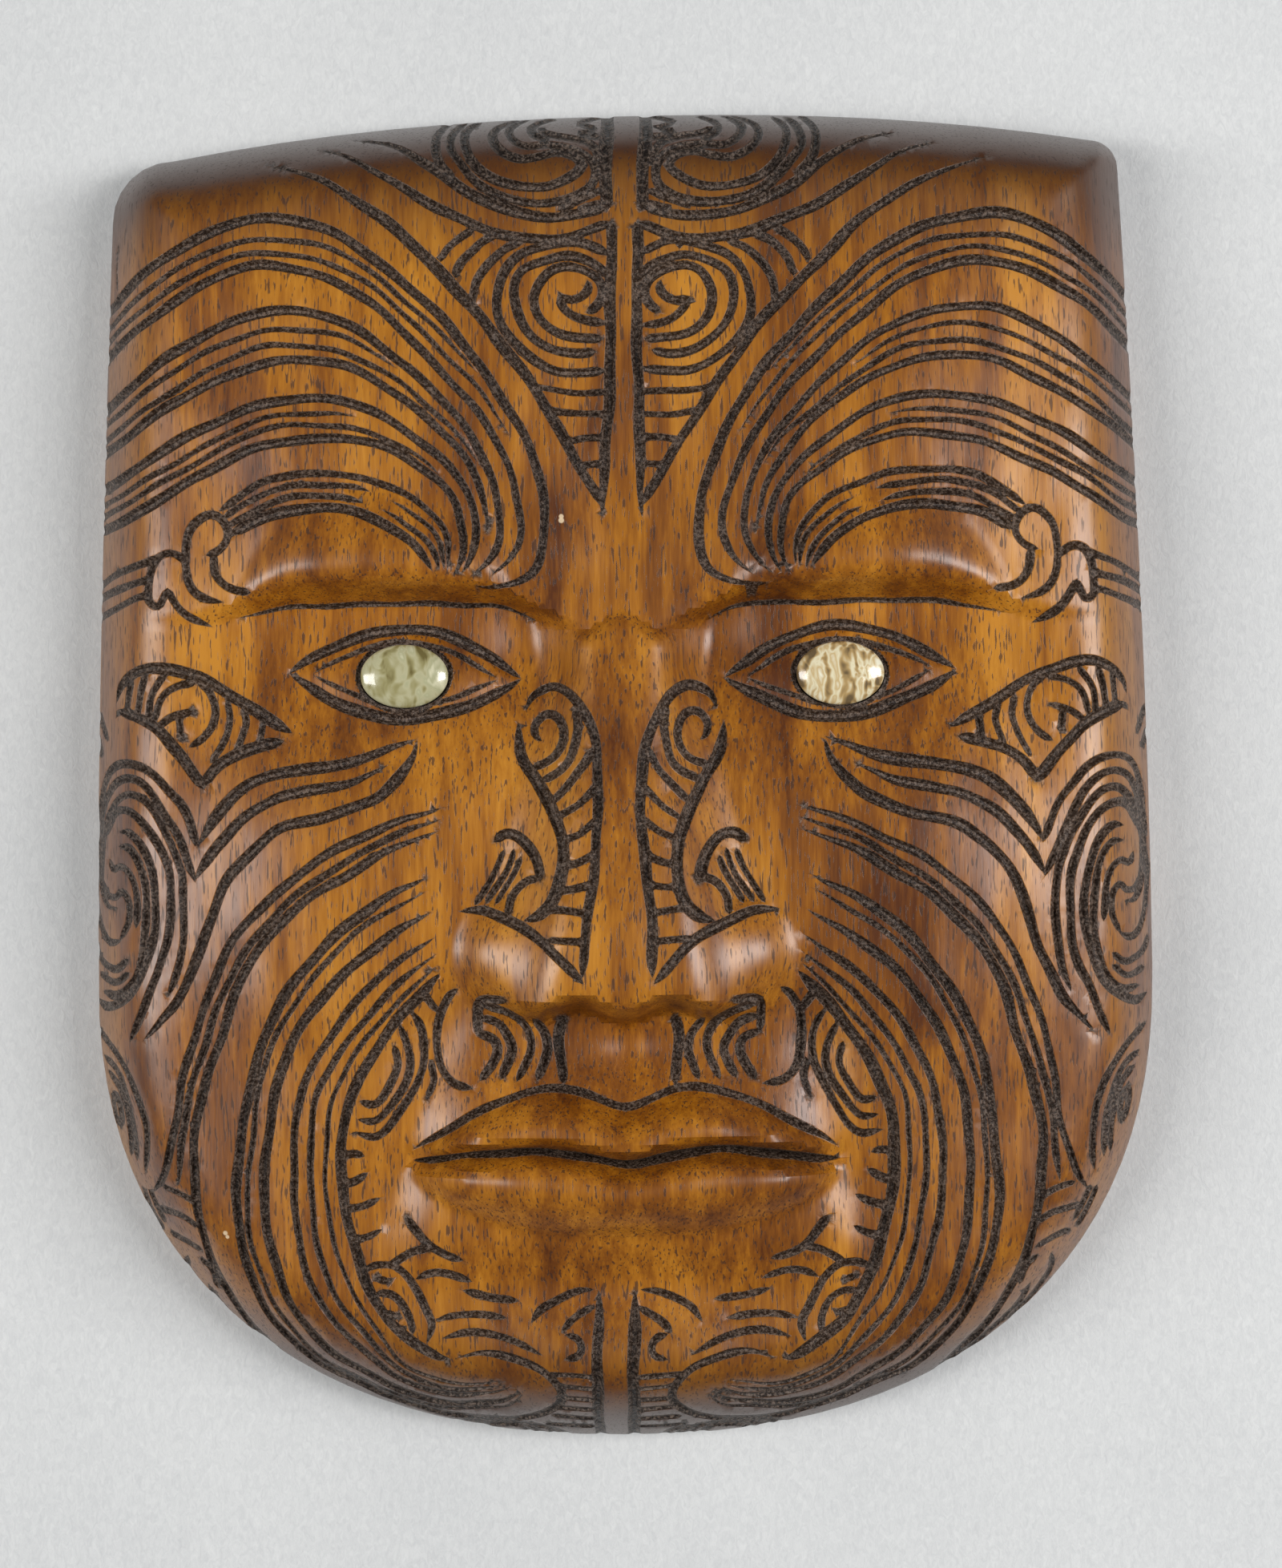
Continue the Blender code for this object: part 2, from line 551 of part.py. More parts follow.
def build():
    """Clear the scene and model the mask."""
    for old in list(bpy.data.objects):
        bpy.data.objects.remove(old, do_unlink=True)
    parts = bpy.data.collections.new("carved_mask")
    cutters = bpy.data.collections.new("cutters")
    bpy.context.scene.collection.children.link(parts)
    bpy.context.scene.collection.children.link(cutters)

    body = carved_block(parts)
    thin = body.modifiers.new("Thin", "DECIMATE")
    body.data.calc_loop_triangles()
    thin.ratio = BLOCK_TRIANGLES / len(body.data.loop_triangles)
    thin.use_collapse_triangulate = True
    apply_modifiers(body)
    combine(body, outline_cutter(cutters), "INTERSECT")

    looks = {
        "eye_shell_left": material("greenish gold shell", (0.50, 0.52, 0.34), 0.18),
        "eye_shell_right": material("cream shell", (0.68, 0.60, 0.42), 0.18),
    }
    for name, side in (("eye_shell_left", -1), ("eye_shell_right", 1)):
        centre = eye_centre(side)
        shell_eye(name, parts, looks[name], centre)
        pocket = oval(name + "_pocket", cutters, SHELL_LENGTH + 2 * SHELL_GAP, SHELL_WIDTH + 2 * SHELL_GAP,
                      -SHELL_GAP, DEPTH, SHELL_STEPS)
        pocket.location = centre
        combine(body, as_cutter(pocket), "DIFFERENCE")

    hole = oval("hanging_hole", cutters, HANG_HOLE_DIAMETER, HANG_HOLE_DIAMETER, -RIM_WALL, HANG_HOLE_DEPTH, 24)
    hole.location = (0, HANG_HOLE_HEIGHT, 0)
    combine(body, as_cutter(hole), "DIFFERENCE")
    body.data.materials.clear()
    body.data.materials.append(material("oiled reddish brown wood", (0.33, 0.13, 0.045), 0.38))
    body.data.shade_smooth()
    body.data.set_sharp_from_angle(angle=np.radians(40))


build()
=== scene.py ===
"""Carved wooden mask with shell eyes, lying on its back on pale paper and seen from straight above."""

import bmesh
import bpy
import numpy as np
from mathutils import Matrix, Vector
from mathutils.geometry import delaunay_2d_cdt


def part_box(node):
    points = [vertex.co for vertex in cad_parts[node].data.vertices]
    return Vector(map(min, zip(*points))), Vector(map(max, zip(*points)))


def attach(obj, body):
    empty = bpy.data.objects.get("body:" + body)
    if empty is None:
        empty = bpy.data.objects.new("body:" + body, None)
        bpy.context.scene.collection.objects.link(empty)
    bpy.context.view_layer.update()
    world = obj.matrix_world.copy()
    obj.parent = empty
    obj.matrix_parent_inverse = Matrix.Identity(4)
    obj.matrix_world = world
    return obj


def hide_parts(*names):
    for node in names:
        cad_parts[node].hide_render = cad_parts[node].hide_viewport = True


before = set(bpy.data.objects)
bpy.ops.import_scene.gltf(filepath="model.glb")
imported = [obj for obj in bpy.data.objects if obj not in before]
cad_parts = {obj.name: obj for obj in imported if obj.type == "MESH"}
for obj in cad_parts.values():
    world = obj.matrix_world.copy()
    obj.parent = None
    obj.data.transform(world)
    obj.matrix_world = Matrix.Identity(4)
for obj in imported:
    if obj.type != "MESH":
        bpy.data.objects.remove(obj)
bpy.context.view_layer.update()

# Sizes of the board, read from the frame, and the height of its upright rim
LOW, HIGH = (np.array(corner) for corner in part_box("mask_body"))
WIDTH, HEIGHT, DEPTH = HIGH - LOW
RIM_WALL = 0.009
BACK_EDGE_BREAK = 0.0008
HOLE_RADIUS = 0.004
HOLE_DEPTH = 0.013
HOLE_HEIGHT = 0.084
SHELL_GAP = 0.0003
SHELL_EDGE = 0.0016

# The face is drawn on a sheet that is stretched over the board: one unit is about 1 mm
SHEET_HALF_WIDTH = 112.0
SHEET_HALF_HEIGHT = 140.0
SHEET_RIM = 9.0
UNIT = np.array([WIDTH / 2 / SHEET_HALF_WIDTH, HEIGHT / 2 / SHEET_HALF_HEIGHT])

# Places of the face on the sheet: thirds of the height and fifths of the width
THIRD = 2 * SHEET_HALF_HEIGHT / 3
BROW_LINE = SHEET_HALF_HEIGHT - THIRD
NOSE_BASE = BROW_LINE - THIRD
MOUTH_LINE = NOSE_BASE - THIRD / 3
EYE_LINE = BROW_LINE - 0.28 * THIRD
FIFTH = 2 * SHEET_HALF_WIDTH / 5
EYE_MIDDLE = FIFTH
EYE_HALF = FIFTH / 2
MOUTH_HALF = FIFTH

# The carver's middle line of the drawing: its sideways place at the middle of the height, and its lean
DRAWING_SHIFT = -0.5
DRAWING_LEAN = 0.015

# Outline on the sheet; each corner has a place across, a place up and a radius
WIDEST_LINE = -42.0
JAW_POWER = 2.3
RIGHT_CORNER = (105.5, 134.0, 6.0)
LEFT_CORNER = (107.0, 131.0, 13.0)

# The hood of the brow over each eye
HOOD_MIDDLE = 51.0
HOOD_HALF = 29.0
HOOD_RISE = 20.0

# Half widths of the cut lines, and how deep a line is for its half width
BOLD = 1.22
MIDDLING = 0.98
FINE = 0.74
CUT_SLOPE = 1.15

# Fineness of the drawing of cuts and of the mesh, in sheet units
PITCH = 0.16
ROW_STEP = 0.75
FIELD_STEP = 1.6
EDGE_ROWS = (0.0, 0.5, 1.1, 1.8, 2.7, 3.8, 5.2)


def smooth(start, end, value):
    """Smooth step from 0 at start to 1 at end."""
    share = np.clip((value - start) / (end - start), 0, 1)
    return share * share * (3 - 2 * share)


def swell(x, y, centre_x, centre_y, reach_x, reach_y):
    """Soft round swelling of height 1, repeated on both sides when it is off the middle."""
    rise = np.exp(-(((x - centre_x) / reach_x) ** 2))
    if centre_x:
        rise = rise + np.exp(-(((x + centre_x) / reach_x) ** 2))
    return rise * np.exp(-(((y - centre_y) / reach_y) ** 2))


def soft_profile(y, heights, values, blur=5.0):
    """Values read between named heights, with the corners rounded over the blur."""
    shifts = blur * np.array([-1.0, -0.5, 0.0, 0.5, 1.0])
    return sum(np.interp(y + shift, heights, values) for shift in shifts) / len(shifts)


def soft_union(first, second, blend):
    """The higher of two surfaces with a fillet of the given height between them."""
    share = np.clip(0.5 + 0.5 * (first - second) / blend, 0, 1)
    return second + (first - second) * share + blend * share * (1 - share)


def evenly(path, step=None, count=None):
    """The path again, with points at even steps along it."""
    lengths = np.hypot(*np.diff(path, axis=0).T)
    along = np.concatenate([[0], np.cumsum(lengths)])
    count = count or max(3, int(along[-1] / step) + 1)
    places = np.linspace(0, along[-1], count)
    return np.column_stack([np.interp(places, along, path[:, 0]), np.interp(places, along, path[:, 1])])


def through(*points):
    """A smooth line through the guide points, each span a cubic that leaves along its neighbours' chord."""
    guide = np.array(points, float)
    guide = np.vstack([2 * guide[0] - guide[1], guide, 2 * guide[-1] - guide[-2]])
    t = np.linspace(0, 1, 24, endpoint=False)[:, None]
    spans = []
    for a, b, c, d in zip(guide[:-3], guide[1:-2], guide[2:-1], guide[3:]):
        bend = (2 * a - 5 * b + 4 * c - d) * t**2 + (3 * b - a - 3 * c + d) * t**3
        spans.append(b + 0.5 * ((c - a) * t + bend))
    spans.append(guide[-2:-1])
    return evenly(np.vstack(spans), step=0.5)


def between(first, second, share):
    """The line that runs part of the way from the first line to the second."""
    count = max(len(first), len(second))
    return evenly(first, count=count) * (1 - share) + evenly(second, count=count) * share


def part_of(path, start, end):
    """The stretch of a path between two shares of its points."""
    return path[int(start * len(path)):max(int(end * len(path)), int(start * len(path)) + 3)]


def x_at(path, y):
    """Where a path that only rises or only falls crosses a height."""
    order = np.argsort(path[:, 1])
    return np.interp(y, path[order, 1], path[order, 0])


def board_outline():
    """Closed outline on the sheet: a superellipse jaw, bowed sides, arc corners and a bowed top."""
    power = 2 / JAW_POWER
    turn = np.linspace(0, np.pi / 2, 26)
    jaw_x = SHEET_HALF_WIDTH * np.sin(turn) ** power
    jaw_y = WIDEST_LINE - (SHEET_HALF_HEIGHT + WIDEST_LINE) * np.cos(turn) ** power
    jaw = np.column_stack([jaw_x, jaw_y])

    def side(corner_x, corner_y, radius):
        y = np.linspace(WIDEST_LINE, corner_y - radius, 9)[1:]
        rise = (y - WIDEST_LINE) / (corner_y - WIDEST_LINE)
        x = SHEET_HALF_WIDTH - (SHEET_HALF_WIDTH - corner_x) * rise**1.6
        bend = np.linspace(0, np.pi / 2, 7)[1:]
        corner_x = x[-1] - radius + radius * np.cos(bend)
        corner_y = y[-1] + radius * np.sin(bend)
        return np.vstack([np.column_stack([x, y]), np.column_stack([corner_x, corner_y])])

    right = side(*RIGHT_CORNER)
    left = side(*LEFT_CORNER) * (-1, 1)
    share = np.linspace(0, 1, 18)[1:-1]
    top = right[-1] + (left[-1] - right[-1]) * share[:, None]
    arch = 1 - np.abs(2 * share - 1) ** 2.3
    top[:, 1] += arch * np.min((SHEET_HALF_HEIGHT - top[:, 1]) / arch)
    return np.vstack([jaw, right, top, left[::-1], (jaw * (-1, 1))[-2:0:-1]])


def distance_from_edge(x, y, outline):
    """Distance from the outline on the sheet, positive inside it."""
    nearest = np.full(x.shape, np.inf)
    inside = np.zeros(x.shape, bool)
    for (ax, ay), (bx, by) in zip(outline, np.roll(outline, -1, axis=0)):
        dx, dy = bx - ax, by - ay
        share = np.clip(((x - ax) * dx + (y - ay) * dy) / (dx * dx + dy * dy), 0, 1)
        nearest = np.minimum(nearest, (x - ax - share * dx) ** 2 + (y - ay - share * dy) ** 2)
        if ay != by:
            inside ^= ((ay > y) != (by > y)) & (x < dx * (y - ay) / dy + ax)
    return np.where(inside, 1, -1) * np.sqrt(nearest)


def brow_fold(a):
    """Height of the fold under the brow: level over the eye, dipping at both ends."""
    return 38.5 - 7.0 * smooth(30, 8, a) ** 1.3 + 3.5 * smooth(8, 0, a) - 4.5 * smooth(64, 90, a)


def eye_lids(a, grow=0.0):
    """Heights of the upper and lower lid, an almond on the eye line, at distance a from the middle."""
    u = np.clip((a - EYE_MIDDLE) / (EYE_HALF + grow), -1, 1)
    upper = EYE_LINE + (9.0 + 0.6 * grow) * (1 - np.abs(u) ** 1.9) + 0.6 * u
    lower = EYE_LINE - (8.0 + 0.6 * grow) * (1 - np.abs(u) ** 1.8) + 0.6 * u
    return upper, lower


def lip_parting(a):
    """Height of the line between the lips."""
    dip = 1.5 * np.exp(-((a / 8.0) ** 2))
    lift = 1.3 * np.exp(-(((a - 18) / 12.0) ** 2))
    return MOUTH_LINE - dip + lift - 0.9 * smooth(28, 44, a)


def lip_edges(a):
    """Heights of the upper lip's top edge and the lower lip's bottom edge."""
    u = np.clip(a / MOUTH_HALF, 0, 1)
    notch = 1 - 0.16 * np.exp(-((a / 6.0) ** 2))
    upper = lip_parting(a) + 12.6 * (1 - u**2.2) ** 0.85 * notch
    lower = MOUTH_LINE - 0.9 - 15.6 * (1 - u**2.5) ** 0.62
    return upper, lower


def brows_and_sockets(a, y):
    """Swelling of each brow, the hood that ends at the fold, and the eye plane sunk under it."""
    fold = brow_fold(a)
    z = 2.6 * swell(a, y, 58, 72, 34, 34) - 1.6 * swell(a, y, 0, 62, 16, 46)
    z = z + 1.3 * swell(a, y, 15, 45, 13, 9)
    span = np.clip(1 - ((a - HOOD_MIDDLE) / HOOD_HALF) ** 2, 0, 1)
    reach = HOOD_RISE * span**0.62
    t = np.clip((y - fold) / np.maximum(reach, 0.001), 0, 1)
    z += 5.2 * span * np.sin(np.pi * t**0.62) * (1 - 0.5 * t)
    sunk = smooth(-0.4, 3.4, fold - y) * (1 - smooth(2, 50, fold - y))
    z -= 7.4 * sunk * np.exp(-np.abs((a - 38) / 44.0) ** 3.4)
    z -= 2.6 * swell(a, y, 20, 25, 9, 12)
    upper, lower = eye_lids(a)
    u = np.clip((a - EYE_MIDDLE) / EYE_HALF, -1, 1)
    v = np.clip((2 * y - upper - lower) / np.maximum(upper - lower, 0.001), -1, 1)
    return z + 1.5 * (1 - u**2) * (1 - v**2)


def cheeks_and_chin(a, y):
    """Cheeks, the round muzzle, the chin and the hollows between them."""
    z = 4.2 * swell(a, y, 64, -24, 28, 36) + 3.8 * swell(a, y, 0, -82, 46, 26)
    z += 3.4 * swell(a, y, 0, -125, 26, 13) - 3.0 * swell(a, y, 0, -105, 36, 7)
    drop = NOSE_BASE + 10.7 - y
    side_fold = 34 + 0.30 * drop - 0.0006 * drop**2
    z -= 2.4 * np.exp(-(((a - side_fold) / 7.0) ** 2)) * smooth(-104, -80, y) * (1 - smooth(-52, -34, y))
    return z - 3.8 * swell(a, y, 0, -56, 34, 9) - 1.0 * swell(a, y, 0, -56, 4.5, 8)


def nose(a, y, z):
    """The face with the nose raised from it: a ridge that widens to the tip, and two wings."""
    heights = np.array([-60, -50, -40, -28, -8, 14, 26, 34, 44])
    crest = soft_profile(y, heights, [41.0, 43.4, 45.2, 44.2, 40.4, 35.6, 33.0, 31.6, 31.0])
    flat = soft_profile(y, heights, [14, 14, 13, 10.5, 7.5, 5.5, 5.5, 7, 8])
    foot = soft_profile(y, heights, [34, 34, 33, 30, 24, 19, 18, 20, 21])
    crest = crest - 1.5 * np.clip(a / (flat + 6), 0, 1) ** 2
    section = 1 - smooth(flat, foot, a)
    base = NOSE_BASE - 0.5 - 1.4 * np.cos(a * np.pi / 9.5) * np.exp(-((a / 22) ** 4))
    base = base + 10 * smooth(22, 33, a)
    length = smooth(-3.2, 2.4, y - base) * smooth(-1.0, 5.0, brow_fold(a) + 0.6 - y)
    z = z + np.maximum(crest - z, 0) * section * length
    wing = 37.4 - 6.5 * (((a - 22.5) / 11.0) ** 2 + ((y - NOSE_BASE - 10.0) / 11.5) ** 2) ** 1.3
    return soft_union(z, wing, 5.0)


def lips(a, y):
    """Two rolled lips with a cut line between them."""
    upper, lower = lip_edges(a)
    parting = lip_parting(a)
    width = (1 - np.clip(a / MOUTH_HALF, 0, 1) ** 2) ** 0.5
    up = np.clip((y - parting) / np.maximum(upper - parting, 0.001), 0, 1)
    down = np.clip((parting - y) / np.maximum(parting - lower, 0.001), 0, 1)
    roll = np.where(y > parting, 5.2 * np.sin(np.pi * up**0.75), 6.0 * np.sin(np.pi * down**0.72))
    cut = 3.0 * np.exp(-(((y - parting) / 1.7) ** 2)) * (1 - smooth(MOUTH_HALF - 4, MOUTH_HALF + 2, a))
    return width * roll - cut


def face_height(x, y, edge):
    """Height of the uncut face over the back, on the sheet; edge is the distance from the outline."""
    a = np.abs(x)
    z = 31.0 - 5.0 * (a / SHEET_HALF_WIDTH) ** 2 - 3.0 * (y / SHEET_HALF_HEIGHT) ** 2
    z = z + brows_and_sockets(a, y) + cheeks_and_chin(a, y)
    z = nose(a, y, z) + lips(a, y)
    roll = 19.0 + 6.0 * smooth(-60, -130, y)
    fall = (1 - np.clip(edge / roll, -0.15, 1)) ** 2.6
    return z + (SHEET_RIM - z) * fall


def surface(x, y, edge):
    """Height of the uncut face in metres: the sheet's rim meets the wall and its nose the full depth."""
    ridge = np.linspace(NOSE_BASE, NOSE_BASE + THIRD / 3, 200)
    peak = face_height(np.zeros(200), ridge, np.full(200, SHEET_HALF_WIDTH)).max()
    share = (face_height(x, y, edge) - SHEET_RIM) / (peak - SHEET_RIM)
    return RIM_WALL + (DEPTH - RIM_WALL) * share


def cut(path, half, taper=(0.12, 0.12), fade=1.0):
    """One cut line: its path, half width, the shares of its length over which its ends thin, and its fade.

    The fade is the share of the half width that is left at the far end.
    """
    return path, half, taper, fade


def drawn(guides, half, taper=(0.1, 0.1), fade=1.0):
    """Cuts of one kind through several lists of guide points."""
    return [cut(through(*guide), half, taper, fade) for guide in guides]


def forehead_cuts():
    """Middle strip, the three sweeping lines beside it and the hairline scrolls."""
    cuts = drawn([((4.0, 143), (4.0, 130), (3.6, 116.4))], BOLD + 0.25, (0, 0.04))
    cuts += drawn([((2.6, 113), (2.6, 104), (2.8, 90), (3.1, 74), (3.8, 60), (4.2, 52))], BOLD, (0.02, 0.2))
    slope = through((74.6, 127), (65, 123.8), (55.9, 118.8), (47.3, 112.4), (40, 105.1), (30.9, 95.8),
                    (24.1, 86.9), (17.2, 77.3), (10.4, 66.1), (3.9, 54.6))
    cuts.append(cut(slope, BOLD + 0.2, (0.35, 0.03), 0.7))
    cuts += drawn([
        ((64.1, 130.8), (55.5, 127.2), (45.5, 120.6), (37.3, 115.6), (28, 111.8), (20, 110.1),
         (11, 110.3), (2.6, 113)),
        ((56.8, 133.4), (47.3, 130.4), (40, 125.4), (33, 120), (25, 116), (15.7, 114.4), (9, 115.2),
         (3.8, 116.6)),
    ], BOLD + 0.15, (0.45, 0.03), 0.75)
    scrolls = (((37.3, 139), (39.2, 134), (39.2, 130), (37.8, 126), (35, 122.6)), ((33.7, 139),
        (35.6, 135), (36.4, 130.4), (35, 127), (31.3, 122.4), (25.9, 119), (18.9, 117.4), (12, 118),
        (8, 119.6), (6.2, 121.8), (6.3, 125), (8.2, 127.6), (11.5, 129.3), (16, 129.8), (20.5, 129.4),
        (23.3, 131.4), (24.2, 134.4), (22.8, 137), (20, 139.5)), ((30.7, 139), (33, 135), (33.2, 131),
        (31.3, 126.4), (27.5, 122.6), (22.5, 120.6), (16.5, 120.5), (11.8, 122.2), (9.1, 124.6),
        (10.2, 126.8), (14, 127.8), (18, 127), (22, 126.8), (25.5, 128.6), (27.4, 131.8), (26.8, 135),
        (24.5, 137.4), (22, 139.5)), ((16.3, 131.3), (18.9, 132.9), (19.5, 134.8), (18.5, 136.8),
        (15.5, 139)), ((17.6, 134), (15.7, 132.9), (10.9, 131.6), (7.7, 130.4), (5.8, 128.1), (5, 125)),
        ((5.2, 139.5), (9.4, 136.8), (7.2, 134.6), (9.4, 133), (5.4, 131.8)))
    cuts += drawn(scrolls, MIDDLING + 0.05, (0.03, 0.06))
    cuts += drawn([((4.8, 119.9), (8.6, 118), (13.5, 116)), ((4.8, 117.2), (9.3, 115.6))], FINE + 0.1)
    return cuts + wedge_cuts(slope)


def wedge_cuts(slope):
    """Hooked spiral, nested arcs and ladder inside the wedge that the slope bounds."""
    rings = (((7.6, 94.6), (5.6, 96.2), (4.4, 98.6), (5.2, 101.4), (8.2, 103.4), (12.5, 104.2), (16, 102.8),
              (18.2, 99), (17.8, 95), (15.4, 91.8), (11.5, 89.9), (4.3, 89.4)),
             ((3.3, 101.7), (4.8, 103.6), (7.8, 105.4), (12, 106.5), (17, 105.4), (21, 103.2), (22.4, 99.4),
              (21.6, 94.6), (19.2, 90.4), (14.8, 87.2), (9.7, 86), (5.6, 86.6)),
             ((3.3, 106.8), (6.8, 108.4), (10.6, 109.2), (16, 108.4), (21.4, 106.2), (25, 102), (26.2, 96.3),
              (24.7, 91.3), (20.4, 86.3), (14.5, 83.1), (9, 82.4), (3.9, 82.8)))
    cuts = drawn(rings, MIDDLING + 0.05, (0.03, 0.03))
    cuts += drawn([
        ((7.6, 101.4), (7.3, 99.6), (8.6, 98), (10.6, 97.2), (12.9, 97.4), (12.3, 95.6), (10, 93.7),
         (6.8, 92.6), (3.6, 92.2)),
    ], MIDDLING, (0.1, 0.1))
    cuts += drawn([
        ((20.8, 109.2), (24, 108.1), (26.5, 106.2), (28.6, 104), (30.2, 101), (30.7, 96.9)),
        ((26.5, 110.5), (29.1, 109.5), (31.6, 107.4), (33.5, 105.2), (34.6, 102.5)),
        ((31, 111.9), (33.5, 110.3), (36.1, 108.1), (37.7, 105.8)),
    ], MIDDLING, (0.1, 0.05))
    for y, drop in ((78.4, 1.1), (73.8, 0.9), (69, -0.8), (63.7, -0.2)):
        side_x = x_at(slope, y + drop)
        cuts += drawn([((3.4, y), ((3.4 + side_x) / 2, y), (side_x, y + drop))], FINE + 0.05, (0.05, 0.05))
    return cuts


# Stations along the brow from the side to the root of the nose, each on its first and on its last line
BROW_TOP = ((112.5, 97.3), (103, 102.3), (92, 108.6), (82, 113.7), (73.5, 114.8), (64, 113.1),
    (55, 108.9), (45.5, 101.2), (37, 93), (28, 82), (20.5, 69.6), (16.9, 59.8), (15.7, 51.5),
    (16.2, 45.8), (21, 40.4))
BROW_LOW = ((112.5, 52.4), (104, 53.4), (95, 57.6), (85.3, 62.6), (73, 67.9), (60, 69.1), (53, 68.3),
            (46, 65.8), (40.5, 62.4), (36.5, 59.2), (33.8, 55.5), (32.6, 50.5), (32.4, 46.5), (33.2, 43),
            (34.6, 40.2))


def brow_line(shares, last):
    """A line between the first and the last; its share of the way is given at five stations."""
    share = np.interp(np.arange(last + 1), (0, 4, 8, 12, 14), shares)[:, None]
    first, second = np.array(BROW_TOP)[:last + 1], np.array(BROW_LOW)[:last + 1]
    return through(*(first * (1 - share) + second * share))


def brow_cuts():
    """Three bands of four lines that sweep from the root of the nose over the brow and out over the side."""
    hook = ((17.7, 42), (20.3, 40), (23.5, 38.9), (27.3, 38.6), (31, 39.2))
    cuts = [cut(through(*BROW_TOP[:14], *hook), BOLD + 0.1, (0.03, 0.1), 0.75)]
    bold = ((0.215, 0.205, 0.305, 0.29, 0.45), (0.455, 0.41, 0.477, 0.55, 0.75),
        (0.81, 0.815, 0.842, 0.85, 0.88), (1, 1, 1, 1, 1))
    cuts += [cut(brow_line(shares, 14), BOLD, (0.03, 0.06), 0.62) for shares in bold]
    cuts.append(cut(brow_line((0.648, 0.637, 0.67, 0.70, 0.70), 12), BOLD, (0.03, 0.1), 0.62))
    fine = (((0.075, 0.09, 0.09, 0.0, 0.0), 9), ((0.14, 0.151, 0.185, 0.08, 0.08), 10),
        ((0.517, 0.495, 0.53, 0.53, 0.5), 7), ((0.594, 0.569, 0.60, 0.50, 0.50), 10),
        ((0.886, 0.887, 0.87, 0.87, 0.87), 6), ((0.939, 0.934, 0.955, 0.98, 0.98), 9))
    cuts += [cut(brow_line(shares, last), FINE + 0.03, (0.03, 0.15), 0.8) for shares, last in fine]
    return cuts + hood_cuts() + temple_cuts()


def hood_cuts():
    """The short band over the hood of each eye."""
    upper = through((82.8, 54.5), (74.4, 59.9), (69.4, 61.6), (64.5, 62.1), (54.6, 61.1), (48.7, 59.1),
                    (42.8, 56.6), (39, 53.7), (36.4, 50.5), (35.2, 46.8), (35.2, 41.6))
    lower = through((80.3, 49.8), (75.4, 52.4), (70.5, 54), (63, 54.9), (55.6, 54), (50.6, 52.3), (46.5, 50),
                    (42.2, 47.1), (39.6, 44.1), (38, 41.4))
    cuts = [cut(upper, MIDDLING, (0.05, 0.1), 0.75), cut(lower, BOLD + 0.05, (0.05, 0.1), 0.75)]
    for share in (0.32, 0.66):
        line = between(upper, lower, share)
        cuts.append(cut(part_of(line, 0, 0.58), FINE + 0.06, (0.05, 0.12)))
        cuts.append(cut(part_of(line, 0.64, 1), FINE - 0.08, (0.3, 0.2)))
    return cuts


def temple_cuts():
    """The knot at the brow's tail and three short lines from it to the side."""
    cuts = drawn([((85.5, 45.6), (82.8, 46.5), (80.8, 48.7), (80.8, 51.2), (82.3, 53.2), (84.6, 53.9),
        (86.8, 52.7), (88.6, 50.7), (89.4, 47.7), (89.5, 44.3), (88.8, 40.3), (87.3, 37.8), (84.8, 36.3),
        (81.6, 35.6)), ((90, 44), (91.2, 45.7), (93.2, 46.2), (95.2, 45.2), (96.6, 42.6), (97.3, 39.3),
        (97.2, 36.3), (95.2, 35.4), (93.4, 38.4), (92.2, 36.6), (90.6, 34.2), (88.3, 32.4), (84.2, 30.8)),
        ((83.8, 45.2), (83.4, 41.8), (81.8, 39.5), (79.6, 38.3), (75.8, 37.6))], MIDDLING, (0.05, 0.12))
    cuts += drawn([
        ((95.4, 45.2), (102.1, 43.3), (112.5, 40.5)), ((96.9, 41), (102.1, 40), (112.5, 37.5)),
        ((97.3, 37.8), (102.1, 36.8), (112.5, 33.8)),
    ], MIDDLING - 0.05, (0.05, 0.02))
    return cuts


def face_cuts():
    """Lids, a finer line inside them, the fold under the brow and the lines of the lips."""
    cuts = []
    for grow, half in ((1.5, 1.25), (-3.2, 0.7)):
        a = np.linspace(EYE_MIDDLE - EYE_HALF - grow, EYE_MIDDLE + EYE_HALF + grow, 90)
        cuts += [cut(evenly(np.column_stack([a, lid]), step=0.5), half) for lid in eye_lids(a, grow)]
    a = np.linspace(17, 80, 120)
    cuts.append(cut(evenly(np.column_stack([a, brow_fold(a) - 3.0]), step=0.5), FINE - 0.1, (0.2, 0.2)))
    a = np.linspace(0, MOUTH_HALF - 1, 90)
    cuts.append(cut(evenly(np.column_stack([a, lip_edges(a)[0] + 0.9]), step=0.5), MIDDLING, (0, 0.15)))
    cuts.append(cut(evenly(np.column_stack([a, lip_parting(a)]), step=0.5), MIDDLING, (0, 0.1)))
    middle, half, _, _ = shell_box(1)
    ring = oval_loop(middle / UNIT, half[0] / UNIT[0] + 0.5, half[1] / UNIT[1] + 0.5, 120)
    cuts.append(cut(evenly(ring, step=0.5), 0.6, (0, 0)))
    return cuts


